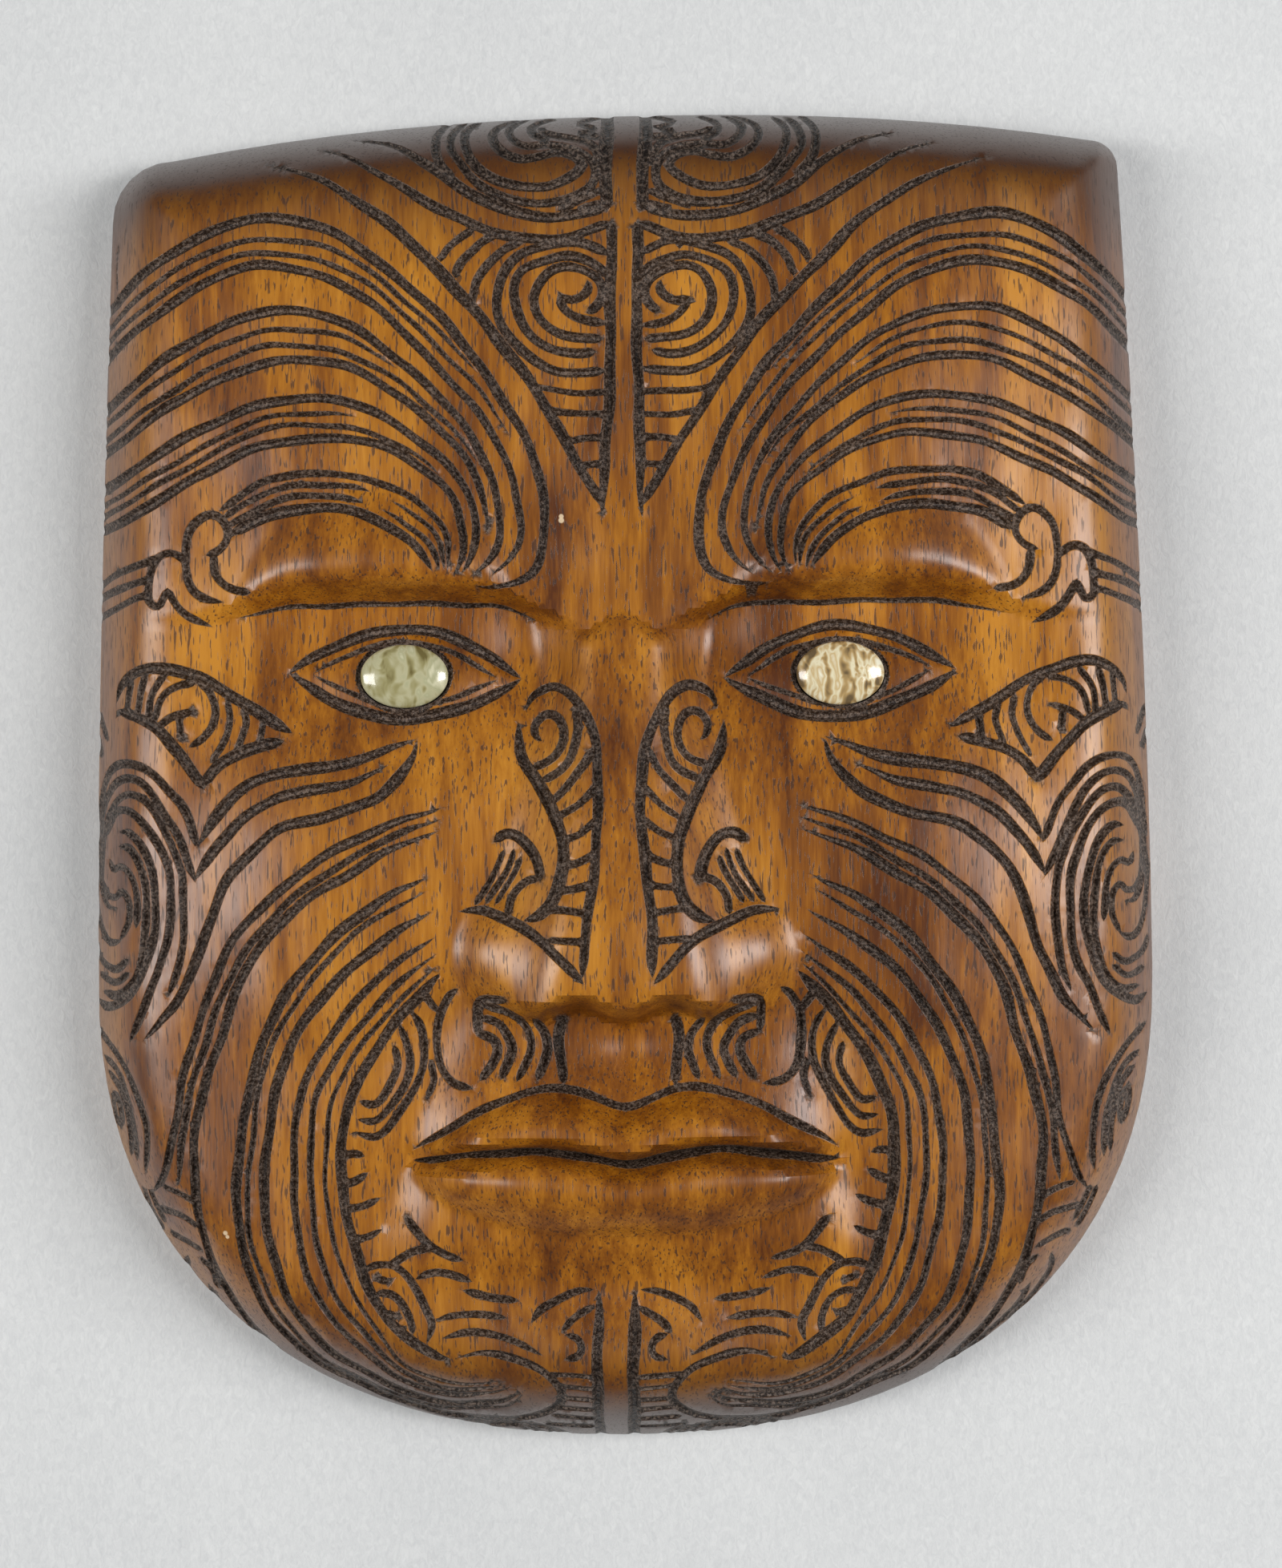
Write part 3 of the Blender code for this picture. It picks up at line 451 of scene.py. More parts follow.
def nose_cuts():
    """Scroll, long line with a ladder, and the comma on the wing, on each side of the ridge.

    Above the wings the lines close up by a share, as the ridge does, and above the middle of the sheet
    they are lowered by a share of their height.
    """
    closing, lowering = 0.2, 0.08
    loop = through((24.7, 14.4), (23.3, 17.5), (20.6, 19.3), (16.8, 19.7), (12.5, 17.3), (9.2, 13.4),
        (7, 8.6), (5.7, 3), (5.4, -6), (6, -16), (6.5, -28), (7, -40.6))
    tail = through((26.5, 11.8), (25.9, 7.3), (24.4, 3), (20.9, -1.8), (17.3, -7), (14.8, -13),
        (13.4, -19.6), (14.1, -25), (16.6, -28.2), (19.7, -29.6))
    cuts = [cut(loop, MIDDLING + 0.1, (0.08, 0.05)), cut(tail, BOLD, (0.12, 0.08))]
    cuts += drawn([
        ((20.1, 7.6), (21.8, 8.7), (22.3, 11.1), (20.6, 13.3), (18.2, 13.9), (15.8, 12.5), (14.5, 9.6),
         (14.9, 6.8), (16.6, 4.4), (19, 3), (22.6, 2)),
        ((11.6, 15.6), (10.9, 11.1), (11.8, 7), (13.4, 3), (16, 0.6), (19.6, -1)),
        ((7.1, 5.6), (9.1, 2), (12.2, -1.2), (17, -5)),
    ], MIDDLING - 0.02, (0.1, 0.05))
    for y, rise in ((-2, 6.6), (-8.8, 4.6), (-15.8, 2.6), (-22, 1), (-27.8, -0.8), (-33.4, -0.6)):
        start_x = x_at(loop[60:], y)
        end_x = min(x_at(tail[8:-14], y - rise), 15.4)
        cuts += drawn([
            ((start_x, y), ((start_x + end_x) / 2, y - 0.62 * rise), (end_x, y - rise)),
        ], FINE + 0.1)
    cuts += drawn([
        ((34.2, -27.6), (29, -27.6), (24.4, -28.9), (19.7, -30.9), (15.4, -33.3), (11.5, -36.7),
         (7, -41.8)),
    ], BOLD, (0.15, 0.12))
    cuts += drawn([
        ((32.1, -13.6), (29.4, -11.9), (25.9, -12.2), (22.6, -14.5), (20.2, -17.4), (18.2, -21.4)),
    ], BOLD)
    cuts += drawn([
        ((18.6, -21.2), (20.6, -21), (22.6, -22.3), (23.7, -24.8), (23.2, -28.4)),
    ], MIDDLING - 0.05)
    for x, top in ((29.2, -15), (26.6, -14.8), (24.4, -16.4)):
        cuts += drawn([((x, top), (x + 0.6, -20.4), (x + 2.2, -26.4))], FINE)
    for path, *_ in cuts:
        path[:, 0] *= 1 - closing * smooth(-34, -12, path[:, 1])
        path[:, 1] -= lowering * np.clip(path[:, 1], 0, None)
    return cuts


def cheek_cuts():
    """Leaf at the outer corner of the eye, nested tongues below it and the scroll on the side."""
    cuts = drawn([((105.2, 16), (104.1, 19), (101.1, 21.5), (97.2, 22.8), (93.2, 22.7), (89.3, 21.5),
        (84.8, 19.6), (77.4, 14.9), (72.4, 11.9), (67.3, 9.3)), ((105.2, 14.2), (100.1, 12.6),
        (95.7, 10.2), (92.2, 6.7), (89.2, 3.6), (85.2, -2.4)), ((69, 7.4), (74.4, 6.4), (78.4, 4.9),
        (82.3, 2.2), (85.4, -1.6))], BOLD, (0.12, 0.08))
    cuts += drawn([
        ((101.4, 20.4), (102.6, 14)), ((98.1, 21.4), (99.4, 17.1), (100.1, 13.4)),
        ((93.8, 21.6), (96.7, 17.1), (97.7, 12)),
        ((87.4, 19.6), (91.2, 18.8), (94.4, 16.4), (96.2, 11.6)),
        ((95, 10.6), (92.2, 12.6), (88.3, 13.9)), ((90.8, 12.4), (90.4, 8.7)),
        ((87.4, 19.6), (85, 18), (83.6, 14.1), (84, 10.8), (86, 8.1), (88.8, 6.4)),
        ((81.1, 16.2), (80.1, 11.7), (81.3, 7.7), (84.3, 3)), ((77.6, 14), (76.9, 10.7), (78.6, 5.6)),
        ((73.4, 11.6), (74, 7)),
    ], FINE + 0.12)
    cuts += drawn([
        ((41.8, 7.6), (46.3, 6), (50.7, 4.4), (59.6, 2.2), (68.5, 1), (72.9, -0.3), (76.5, -2.1),
         (80, -4.8), (83.1, -8.3), (86.4, -14)),
    ], BOLD + 0.12, (0.25, 0.12))
    cuts += drawn([
        ((47.4, 2.4), (51.6, 0.2), (56, -1.6), (64.9, -3.3), (69.4, -4), (73.4, -5.8), (76.9, -8.2),
         (80, -11.3), (83.1, -14.9), (86.8, -21.2)),
    ], BOLD, (0.25, 0.1))
    cuts += drawn([
        ((41.7, 7.4), (42.5, 3.8), (44.5, 0.7), (47.2, -2), (50.7, -4.7), (59.6, -8), (68.5, -10.4),
         (72.9, -13.3), (76.5, -16.6), (80, -20.4), (82.2, -24.6), (84.9, -33.5), (87.1, -38.8),
         (90.3, -45.6), (94.2, -49.7), (98.4, -54.2)),
    ], BOLD + 0.1, (0.1, 0.12), 0.85)
    return cuts + side_cuts()


def side_cuts():
    """The scroll that rises from the chevrons beside the tongues and coils on the rolled side."""
    cuts = drawn([((86.4, -14.6), (87.7, -11), (89.8, -5.8), (92.6, -2.4), (95.8, 0.7), (99.6, 2.7),
        (103.6, 3.2), (106.6, 1.8), (108.6, -1.6), (110.2, -7.2), (111.2, -14)), ((86.8, -21.4),
        (88.7, -17), (90.5, -12.4), (92.8, -8.2), (95.8, -3.5), (99.2, -0.6), (102.8, 0), (106, -1.6),
        (108.6, -6), (110.2, -13), (110.6, -22)), ((92.8, -45.2), (90.1, -38), (89.1, -30), (89.5, -21.2),
        (91, -16.6), (93.4, -11), (96.7, -5.8), (100.2, -3.4), (103.8, -3.6), (107, -7), (109.2, -14),
        (109.3, -22), (107.4, -26.4), (104.4, -27)), ((101.4, -54.6), (98.9, -49.7), (96.6, -44.1),
        (94.2, -39), (92.5, -32.4), (92.2, -22), (93.5, -16.6), (95.8, -11.9), (99, -8.2), (102.4, -6.5),
        (105.6, -7.4), (107.8, -12)), ((111.4, -46.6), (107.6, -47.8), (103.4, -46.4), (99.8, -43.4),
        (97.2, -38), (95.6, -31), (95.6, -23.1), (96.8, -17.5), (98.8, -13.3), (101.6, -10.9),
        (104.4, -11)), ((109, -44.8), (104.4, -44.9), (100.4, -41.8), (98.2, -36), (97.2, -29),
        (97.6, -22), (99.4, -17), (101.6, -14.6), (104.4, -14.4))], MIDDLING, (0.06, 0.06))
    cuts += drawn([
        ((107, -16.6), (105.9, -18.9), (103.4, -18.3), (101, -20.4), (99.8, -24.6), (99.6, -31)),
        ((108.9, -21.6), (107.3, -24.4), (105, -24.8), (103.4, -23.5), (101.7, -25.4), (101.8, -29.6),
         (103.8, -33.6)),
        ((111.4, -17.5), (111.2, -25), (109.6, -31), (106.8, -34), (103.4, -33.4)),
        ((111.6, -34.8), (109.6, -38), (105, -39.6), (101.6, -37.2)),
        ((110.4, -41), (105.4, -42.2), (101.4, -40)), ((110.8, 13.8), (108.3, 8.2)),
        ((111.6, 8.9), (109.9, 5.2)),
    ], FINE + 0.12)
    return cuts


def mouth_cuts():
    """The band down the cheek, and the wide band round the mouth that ends in a hairpin on the chin."""
    cuts = drawn([((36, -6.4), (44, -8.9), (52.9, -12.7), (61.8, -17.1), (69.4, -23.3), (76.5, -30.4),
        (81.3, -38), (85.8, -49.1), (89.1, -60.7), (91.1, -71.7), (94.2, -81.6), (97.8, -87))],
        MIDDLING + 0.05, (0.12, 0.04), 0.8)
    cuts += drawn([
        ((36.2, -8.7), (46.3, -12.4), (55.2, -17.1), (64, -22.4), (71.2, -29.5), (76.5, -36.2),
         (81.8, -45.5), (85.2, -56), (88.6, -68.2), (91.2, -84.4)),
    ], FINE + 0.08, (0.1, 0.05))
    cuts += drawn([
        ((36.6, -11.1), (46.3, -14.9), (55.2, -19.8), (64, -25.1), (71.2, -32.6), (77.4, -41.5),
         (81.8, -54), (84.8, -63.5), (86.9, -72.6), (87.3, -82.2), (86.1, -92.7), (83.1, -103.7),
         (78.1, -114.7), (70, -124.8), (58, -136.5)),
    ], MIDDLING + 0.1, (0.1, 0.02))
    outer_guide = ((39.1, -20.6), (48.5, -25.5), (57.4, -31.8), (64.9, -40.2), (70.7, -49.6), (75, -61),
        (77.2, -74), (78.2, -88), (76.6, -99.8), (72.1, -111.8), (63, -122.8), (53, -128), (43, -132.3),
        (31, -135.1))
    inner_guide = ((36.5, -40.2), (40, -43.8), (44.8, -49.4), (49.6, -56.2), (53.4, -62.6), (55.9, -69),
        (56.6, -78), (55.8, -87), (54, -96), (51.6, -103.7), (47.6, -110.6), (43.1, -114.8), (37.2, -119),
        (34, -119.8))
    hairpin = ((22, -134.8), (16, -133), (12.4, -130.2), (11.5, -127.3), (12.8, -124.3), (16.2, -121),
               (22, -118.9), (28, -118), (33.4, -119.6))
    cuts += drawn([(*outer_guide, *hairpin)], BOLD + 0.05, (0.06, 0.05), 0.75)
    cuts += drawn([inner_guide], BOLD, (0.05, 0.04))
    short_outer = through(*outer_guide[:-1], (35, -133.2), (28, -132.3), (22.4, -131.4), (19.2, -128.2),
        (21, -125.2))
    short_inner = through(*inner_guide[:-3], (43.6, -118.6), (37.8, -122.6), (32, -124.2), (25.4, -123.7),
        (22, -124.7))
    bands = ((0.13, 0.10, FINE), (0.36, 0.26, BOLD - 0.05), (0.62, 0.53, MIDDLING),
        (0.79, 0.69, FINE + 0.08), (0.90, 0.84, FINE - 0.06))
    for start, end, half in bands:
        count = 900
        share = np.interp(np.linspace(0, 1, count), (0, 0.3), (start, end))[:, None]
        line = evenly(short_outer, count=count) * (1 - share) + evenly(short_inner, count=count) * share
        cuts.append(cut(evenly(line, step=0.5), half, (0.08, 0.08), 0.75))
    for y, reach in ((-77.7, 4.8), (-83.4, 5.2), (-88.6, 7), (-94.8, 6)):
        x = x_at(through(*inner_guide[5:11]), y)
        cuts += drawn([
            ((x, y), (x - reach / 2, y + 0.6), (x - reach, y + (0 if y > -80 else 2.2))),
        ], FINE + 0.2, (0.05, 0.3))
    return cuts


def jaw_cuts():
    """Small scroll on the side, the ladder under it and the loops at the jaw."""
    cuts = drawn([((111.4, -52.7), (108.1, -54.7), (105.1, -57.2), (102.1, -61.2), (99.8, -66),
        (98.1, -72), (98, -78), (99, -83)), ((109.4, -58.4), (105.6, -60.7), (103, -64.7), (101.5, -69.7),
        (100.9, -75), (101, -80.4)), ((108, -61.4), (104.8, -64.2), (102.9, -68.7), (102.3, -74.7),
        (103.1, -79.6)), ((104.8, -73.6), (106.2, -72), (107, -68.6), (106.4, -66.2), (105, -67.6),
        (104.4, -70.6), (104.8, -73.6))], FINE + 0.15, (0.08, 0.1))
    for y, reach in ((-84.8, 94.6), (-90, 96.4), (-95.6, 94.4)):
        cuts += drawn([((reach, y), (90.4, y - 1.2), (86.8, y - 3))], FINE + 0.1)
    cuts += drawn([
        ((90.6, -100.4), (91.3, -103.7), (89.6, -107.3), (87.1, -111.3), (82.6, -116)),
        ((87.4, -100.4), (84.9, -102.7), (84, -107)),
        ((86.8, -107), (84.1, -112.3), (80.1, -116.8), (72, -124.2)),
        ((100.3, -86.4), (98.8, -91.2), (96.4, -95.4)), ((98.4, -86.4), (97, -90), (95.4, -93.4)),
    ], FINE + 0.1)
    return cuts


def lip_cuts():
    """Scrolls over the upper lip, nested drops beside it and the edges of the lips."""
    cuts = drawn([((11.4, -49.6), (12.3, -54), (11.5, -63))], BOLD - 0.05, (0.1, 0.1))
    cuts += drawn([
        ((17.6, -49.6), (15.2, -52.6), (14.4, -56), (15.2, -59), (16.6, -62.4)),
        ((28.1, -46.8), (23.4, -47.8), (20.1, -50.1), (18.1, -53.6), (18.3, -57.2), (21.1, -62.4)),
        ((28.5, -49.4), (25, -50.5), (22.8, -53.2), (21.6, -56.6), (23.9, -62.2)),
        ((28.9, -52.6), (25.8, -53.8), (24.7, -56), (25.8, -59.1), (28.2, -62.4)),
        ((22.5, -45.6), (28.2, -45.7), (29, -49), (28.8, -52.8)),
    ], MIDDLING + 0.03, (0.1, 0.1))
    cuts += drawn([
        ((32.8, -43.4), (34.9, -45), (36.6, -48.2), (37.3, -52), (37.2, -56.4), (36.2, -60),
         (33.6, -62.6), (29.4, -63.6)),
        ((39.6, -44.8), (37.7, -47.9)),
    ], MIDDLING, (0.08, 0.1))
    cuts += drawn([
        ((46, -54.8), (45.1, -59.1), (46.7, -63), (49.6, -66.6), (52.9, -66)),
        ((44.9, -50.6), (42.9, -55.6), (42.8, -60), (45, -65), (49.2, -70), (53.4, -69.8)),
        ((42.4, -47.8), (40.2, -52), (39.8, -56.5), (40.8, -61), (44, -67.4), (49, -73.4), (54.4, -72.8)),
        ((38.6, -58.8), (37.8, -62.4), (39, -66)),
    ], FINE + 0.12, (0.08, 0.1))
    return cuts


def chin_cuts():
    """Waves under the lower lip, the middle strip with its rungs, and the arcs at the lower edge."""
    cuts = drawn([((3.7, -105.6), (3.7, -117), (3.6, -143))], BOLD + 0.05, (0.2, 0.02))
    cuts += drawn([
        ((41.4, -103.1), (38, -101.8), (34.7, -101.8), (29.6, -103.6)),
        ((31.7, -105.4), (26, -107), (19.8, -107.9)),
        ((37.2, -111.5), (33, -110.6), (27.9, -110.4), (22.4, -111.4)),
        ((35.9, -115.3), (31.3, -114.2), (26.2, -114.2), (21, -115.3), (15, -118.6)),
        ((17.6, -112.1), (15.5, -109.2), (12.1, -107.2), (8.3, -105.8), (4.6, -105.6)),
        ((11.4, -114), (8.8, -111.3), (4.3, -108.9)),
        ((10.6, -114.2), (7.9, -115.1), (6.9, -117.2), (7.9, -118.9), (10.6, -119.5)),
    ], MIDDLING - 0.08, (0.2, 0.2))
    for k in range(6):
        y = -122.4 - 2.75 * k
        inner_end = 12.4 + 0.5 * abs(k - 2.2) ** 1.6
        cuts += drawn([((4.4, y - 0.6), (8, y - 0.4), (inner_end, y))], FINE - 0.04)
    cuts += drawn([
        ((43.2, -90.4), (41, -93), (38, -96.3), (34.7, -98.2), (31.4, -99.2)),
        ((46.4, -100), (43.5, -98.2), (41, -97.2), (38, -96.8)),
        ((52, -101), (49, -100), (45.6, -100.4), (42.9, -102.6), (41, -105.6), (39.4, -109.4),
         (38.2, -112.6), (39, -116.6)),
    ], MIDDLING, (0.08, 0.15))
    cuts += drawn([
        ((49.4, -106), (46.5, -106.1), (43.9, -107.9), (42.2, -111.3), (41.8, -114.6)),
        ((47.6, -110), (45, -110.6)), ((49, -103), (46.8, -103.6)), ((45.6, -113.4), (43.6, -113.4)),
    ], FINE + 0.1)
    for k in range(4):
        cuts += drawn([
            ((8.4 + 2.6 * k, -142), (13 + 2.4 * k, -137.8 + 0.3 * k), (20 + 1.2 * k, -137 + 0.4 * k),
             (27 + 1.8 * k, -137.4 + 0.3 * k), (31 + 2.6 * k, -140.6)),
        ], FINE + 0.06)
    return cuts


def all_cuts():
    """Every cut line of both halves, with the small wanderings of a hand-led tool, each half its own."""
    crack = cut(through((105.6, 113.4), (106.1, 105), (105.7, 97)), 0.3)
    ornament = (forehead_cuts() + brow_cuts() + nose_cuts() + cheek_cuts() + mouth_cuts() + jaw_cuts()
                + lip_cuts() + chin_cuts())
    kinds = [(line, 1, (1, -1)) for line in ornament] + [(line, 0, (1, -1)) for line in face_cuts()]
    kinds.append((crack, 0, (-1,)))
    chance = np.random.default_rng(11)
    cuts = []
    for side in (1, -1):
        for (path, half, taper, fade), leaning, sides in kinds:
            if side not in sides:
                continue
            path = path * (side, 1)
            path[:, 0] += leaning * (DRAWING_SHIFT + DRAWING_LEAN * path[:, 1])
            heading = np.gradient(path, axis=0)
            heading /= np.linalg.norm(heading, axis=1, keepdims=True)
            along = np.arange(len(path)) * 0.5
            waves = chance.uniform(0, 2 * np.pi, 3)
            sway = 0.20 * np.sin(along / 5.5 + waves[0]) + 0.12 * np.sin(along / 2.3 + waves[1])
            sway = sway * np.clip(along / 6, 0, 1)
            path = path + np.column_stack([-heading[:, 1], heading[:, 0]]) * sway[:, None]
            fullness = np.full(len(path), half * chance.uniform(0.92, 1.08))
            share = np.linspace(0, 1, len(path))
            fullness *= 1 - (1 - fade) * share
            for nearness, reach in ((share, taper[0]), (1 - share, taper[1])):
                if reach:
                    fullness *= np.clip(nearness / reach, 0.03, 1) ** 0.6
            fullness *= 1 + 0.07 * np.sin(along / 3.1 + waves[2])
            cuts.append((path, fullness, half))
    return cuts


class CutMap:
    """A fine raster over the sheet that holds how deep the cuts are at each place."""

    def __init__(self, cuts):
        self.x = np.arange(-SHEET_HALF_WIDTH - 3, SHEET_HALF_WIDTH + 3, PITCH)
        self.y = np.arange(-SHEET_HALF_HEIGHT - 3, SHEET_HALF_HEIGHT + 3, PITCH)
        self.depth = np.zeros((len(self.y), len(self.x)), np.float32)
        chance = np.random.default_rng(5)
        for path, fullness, _ in cuts:
            points = evenly(path, step=PITCH)
            share = np.linspace(0, 1, len(points))
            halves = np.interp(share, np.linspace(0, 1, len(fullness)), fullness)
            along = np.arange(len(points)) * PITCH
            chatter = 1 + 0.10 * np.sin(along * 2.6 + chance.uniform(0, 6)) + 0.12 * np.sin(along * 0.9)
            for (x, y), reach, depth in zip(points, halves, CUT_SLOPE * halves * chatter):
                self.stamp(x, y, reach, depth)

    def stamp(self, x, y, reach, depth):
        """Sink one round notch: its walls fall smoothly from the reach to a third of it, then it is flat."""
        columns = slice(*np.searchsorted(self.x, (x - reach, x + reach)))
        rows = slice(*np.searchsorted(self.y, (y - reach, y + reach)))
        nearness = np.hypot(self.x[columns] - x, self.y[rows, None] - y) / reach
        wall = np.clip((1 - nearness) / 0.72, 0, 1)
        notch = depth * wall * (1.6 - 0.6 * wall)
        np.maximum(self.depth[rows, columns], notch, out=self.depth[rows, columns])

    def at(self, x, y, raster=None):
        """The raster's value at each point, from its four nearest cells."""
        raster = self.depth if raster is None else raster
        column = np.clip((x - self.x[0]) / PITCH, 0, len(self.x) - 1.001)
        row = np.clip((y - self.y[0]) / PITCH, 0, len(self.y) - 1.001)
        j, i = column.astype(int), row.astype(int)
        u, v = column - j, row - i
        upper = raster[i, j] * (1 - u) + raster[i, j + 1] * u
        lower = raster[i + 1, j] * (1 - u) + raster[i + 1, j + 1] * u
        return upper * (1 - v) + lower * v

    def spread(self, reach):
        """The depth averaged over a square of the given half width: how closely cut the wood is there."""
        cells = int(reach / PITCH)
        sums = np.cumsum(np.cumsum(np.pad(self.depth, ((cells + 1, cells), (cells + 1, cells))), axis=0),
            axis=1)
        size = 2 * cells + 1
        total = sums[size:, size:] - sums[:-size, size:] - sums[size:, :-size] + sums[:-size, :-size]
        return total / size**2


def lattice_noise(x, y, cell, seed):
    """Smooth noise from 0 to 1: random values on a square lattice, blended between its corners."""
    grid = np.random.default_rng(seed).uniform(0, 1, (64, 64))
    column, row = x / cell + 31.5, y / cell + 31.5
    j, i = np.floor(column).astype(int), np.floor(row).astype(int)
    u, v = smooth(0, 1, column - j), smooth(0, 1, row - i)
    j, i = j % 63, i % 63
    upper = grid[i, j] * (1 - u) + grid[i, j + 1] * u
    lower = grid[i + 1, j] * (1 - u) + grid[i + 1, j + 1] * u
    return upper * (1 - v) + lower * v


def tool_facets(x, y):
    """The slight unevenness that hand tools and sanding leave between the cuts, in sheet units."""
    broad = lattice_noise(x, y, 13.0, 2) - 0.5
    long_stroke = lattice_noise(x, y / 2.2, 5.0, 3) - 0.5
    return 0.55 * broad + 0.28 * long_stroke


def thinned(points, cell):
    """The points, without those that share a square cell with an earlier one."""
    keys = np.floor(points / cell).astype(int)
    first = np.unique(keys, axis=0, return_index=True)[1]
    return points[np.sort(first)]


def cut_rows(cuts):
    """Rows of points along each cut: down its middle or its two inner edges, then along its outer edges."""
    inner, outer = [], []
    for path, fullness, half in cuts:
        line = evenly(path, step=ROW_STEP)
        heading = np.gradient(line, axis=0)
        heading /= np.linalg.norm(heading, axis=1, keepdims=True)
        across = np.column_stack([-heading[:, 1], heading[:, 0]])
        reach = np.interp(np.linspace(0, 1, len(line)), np.linspace(0, 1, len(fullness)), fullness)[:, None]
        inner += [line] if half < BOLD - 0.2 else [line - 0.3 * reach * across, line + 0.3 * reach * across]
        outer += [line - 1.04 * reach * across, line + 1.04 * reach * across]
    return np.vstack(inner + outer)


def inset(outline, distance, step):
    """The outline moved inwards by a distance, with points at even steps."""
    loop = evenly(np.vstack([outline, outline[:1]]), step=step)[:-1]
    heading = np.roll(loop, -1, axis=0) - np.roll(loop, 1, axis=0)
    heading /= np.linalg.norm(heading, axis=1, keepdims=True)
    return loop + np.column_stack([-heading[:, 1], heading[:, 0]]) * distance


def oval_loop(centre, half_length, half_width, count):
    """Points round an oval."""
    angle = np.linspace(0, 2 * np.pi, count, endpoint=False)
    return np.array(centre) + np.column_stack([half_length * np.cos(angle), half_width * np.sin(angle)])


def loop_edges(start, count):
    """Index pairs that close a loop of points."""
    return [(start + k, start + (k + 1) % count) for k in range(count)]


def triangulated(loops, points):
    """Delaunay triangles over the points that keep the loops' edges and stay inside the first loop."""
    edges = []
    start = 0
    for loop in loops:
        edges += loop_edges(start, len(loop))
        start += len(loop)
    every = np.vstack([*loops, points]) if len(points) else np.vstack(loops)
    result = delaunay_2d_cdt([Vector(point) for point in every.tolist()], edges, [], 1, 1e-6)
    places = np.array([tuple(place) for place in result[0]])
    faces = np.array([face for face in result[2] if len(face) == 3])
    sources = [source[0] if source else -1 for source in result[3]]
    return places, faces, sources


def in_oval(points, centre, half_length, half_width):
    """Which points lie inside the oval."""
    across = (points[:, 0] - centre[0]) / half_length
    up = (points[:, 1] - centre[1]) / half_width
    return across**2 + up**2 < 1


def ring_faces(first, second):
    """Quads between two closed rows of vertex numbers."""
    return [(a, b, c, d) for a, b, c, d in zip(first, np.roll(first, -1), np.roll(second, -1), second)]


def shell_box(side):
    """Middle, half length, half width, and lowest and highest level of a CAD shell, in metres."""
    low, high = (np.array(corner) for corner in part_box("eye_shell_right" if side > 0 else "eye_shell_left"))
    return (low + high)[:2] / 2, (high - low)[:2] / 2, low[2], high[2]


def board_faces():
    """The board as vertices, faces and three numbers for each vertex: cut depth, closeness of cuts, edge.

    The front is a surface over the plane, height = smooth face - cut depth + tool facets, on points that
    follow the outline, the pockets and every cut. The wall drops from its rim to a broken back edge.
    """
    outline = board_outline()
    cuts = all_cuts()
    cut_map = CutMap(cuts)
    closeness = cut_map.spread(3.2)
    loops = [inset(outline, 0.0, 1.0)]
    pockets = []
    for side in (-1, 1):
        middle, half, floor, _ = shell_box(side)
        centre, reach = middle / UNIT, (half + SHELL_GAP) / UNIT
        pockets.append((centre, reach, floor - SHELL_GAP))
        loops.append(oval_loop(centre, reach[0], reach[1], 72))
    rows = [inset(outline, distance, 1.0 + 0.08 * distance) for distance in EDGE_ROWS[1:]]
    rows += [oval_loop(centre, reach[0] + grow, reach[1] + grow, 64) for centre, reach,
        _ in pockets for grow in (0.5, 1.1)]
    along_cuts = cut_rows(cuts)
    depth_there = distance_from_edge(along_cuts[:, 0], along_cuts[:, 1], outline)
    along_cuts = along_cuts[depth_there > 0.45]
    followed = thinned(np.vstack([*rows, along_cuts]), 0.42)
    field_x, field_y = np.meshgrid(np.arange(-SHEET_HALF_WIDTH, SHEET_HALF_WIDTH, FIELD_STEP),
                                   np.arange(-SHEET_HALF_HEIGHT, SHEET_HALF_HEIGHT, FIELD_STEP * 0.87))
    field_x = field_x + FIELD_STEP / 2 * (np.arange(len(field_x)) % 2)[:, None]
    field = np.column_stack([field_x.ravel(), field_y.ravel()])
    field = field[distance_from_edge(field[:, 0], field[:, 1], outline) > EDGE_ROWS[-1] + 0.6]
    taken = set(map(tuple, np.floor(followed / 1.15).astype(int).tolist()))
    free = [tuple(cell) not in taken for cell in np.floor(field / 1.15).astype(int).tolist()]
    inner = np.vstack([followed, field[np.array(free)]])
    for centre, reach, _ in pockets:
        inner = inner[~in_oval(inner, centre, reach[0] + 0.3, reach[1] + 0.3)]
    places, faces, sources = triangulated(loops, inner)
    middles = places[faces].mean(axis=1)
    for centre, reach, _ in pockets:
        faces = faces[~in_oval(middles, centre, reach[0] * 0.999, reach[1] * 0.999)]
        middles = places[faces].mean(axis=1)

    x, y = places.T
    edge = np.maximum(distance_from_edge(x, y, outline), 0)
    depth = cut_map.at(x, y)
    facets = tool_facets(x, y) * smooth(0, 6, edge) * np.clip(1 - depth, 0, 1)
    height = surface(x, y, edge) + (facets - depth) * UNIT[0]
    verts = np.column_stack([places * UNIT, np.clip(height, 0.003, DEPTH - 0.0001)])
    marks = np.column_stack([depth, cut_map.at(x, y, closeness), edge])

    number = {source: index for index, source in enumerate(sources) if source >= 0}
    counts = np.cumsum([0] + [len(loop) for loop in loops])
    rim, *pocket_rims = [np.array([number[k] for k in range(counts[n], counts[n + 1])]) for n in range(3)]
    faces = [tuple(face) for face in faces.tolist()]
    return close_board(verts, marks, faces, rim, pocket_rims, pockets, outline)


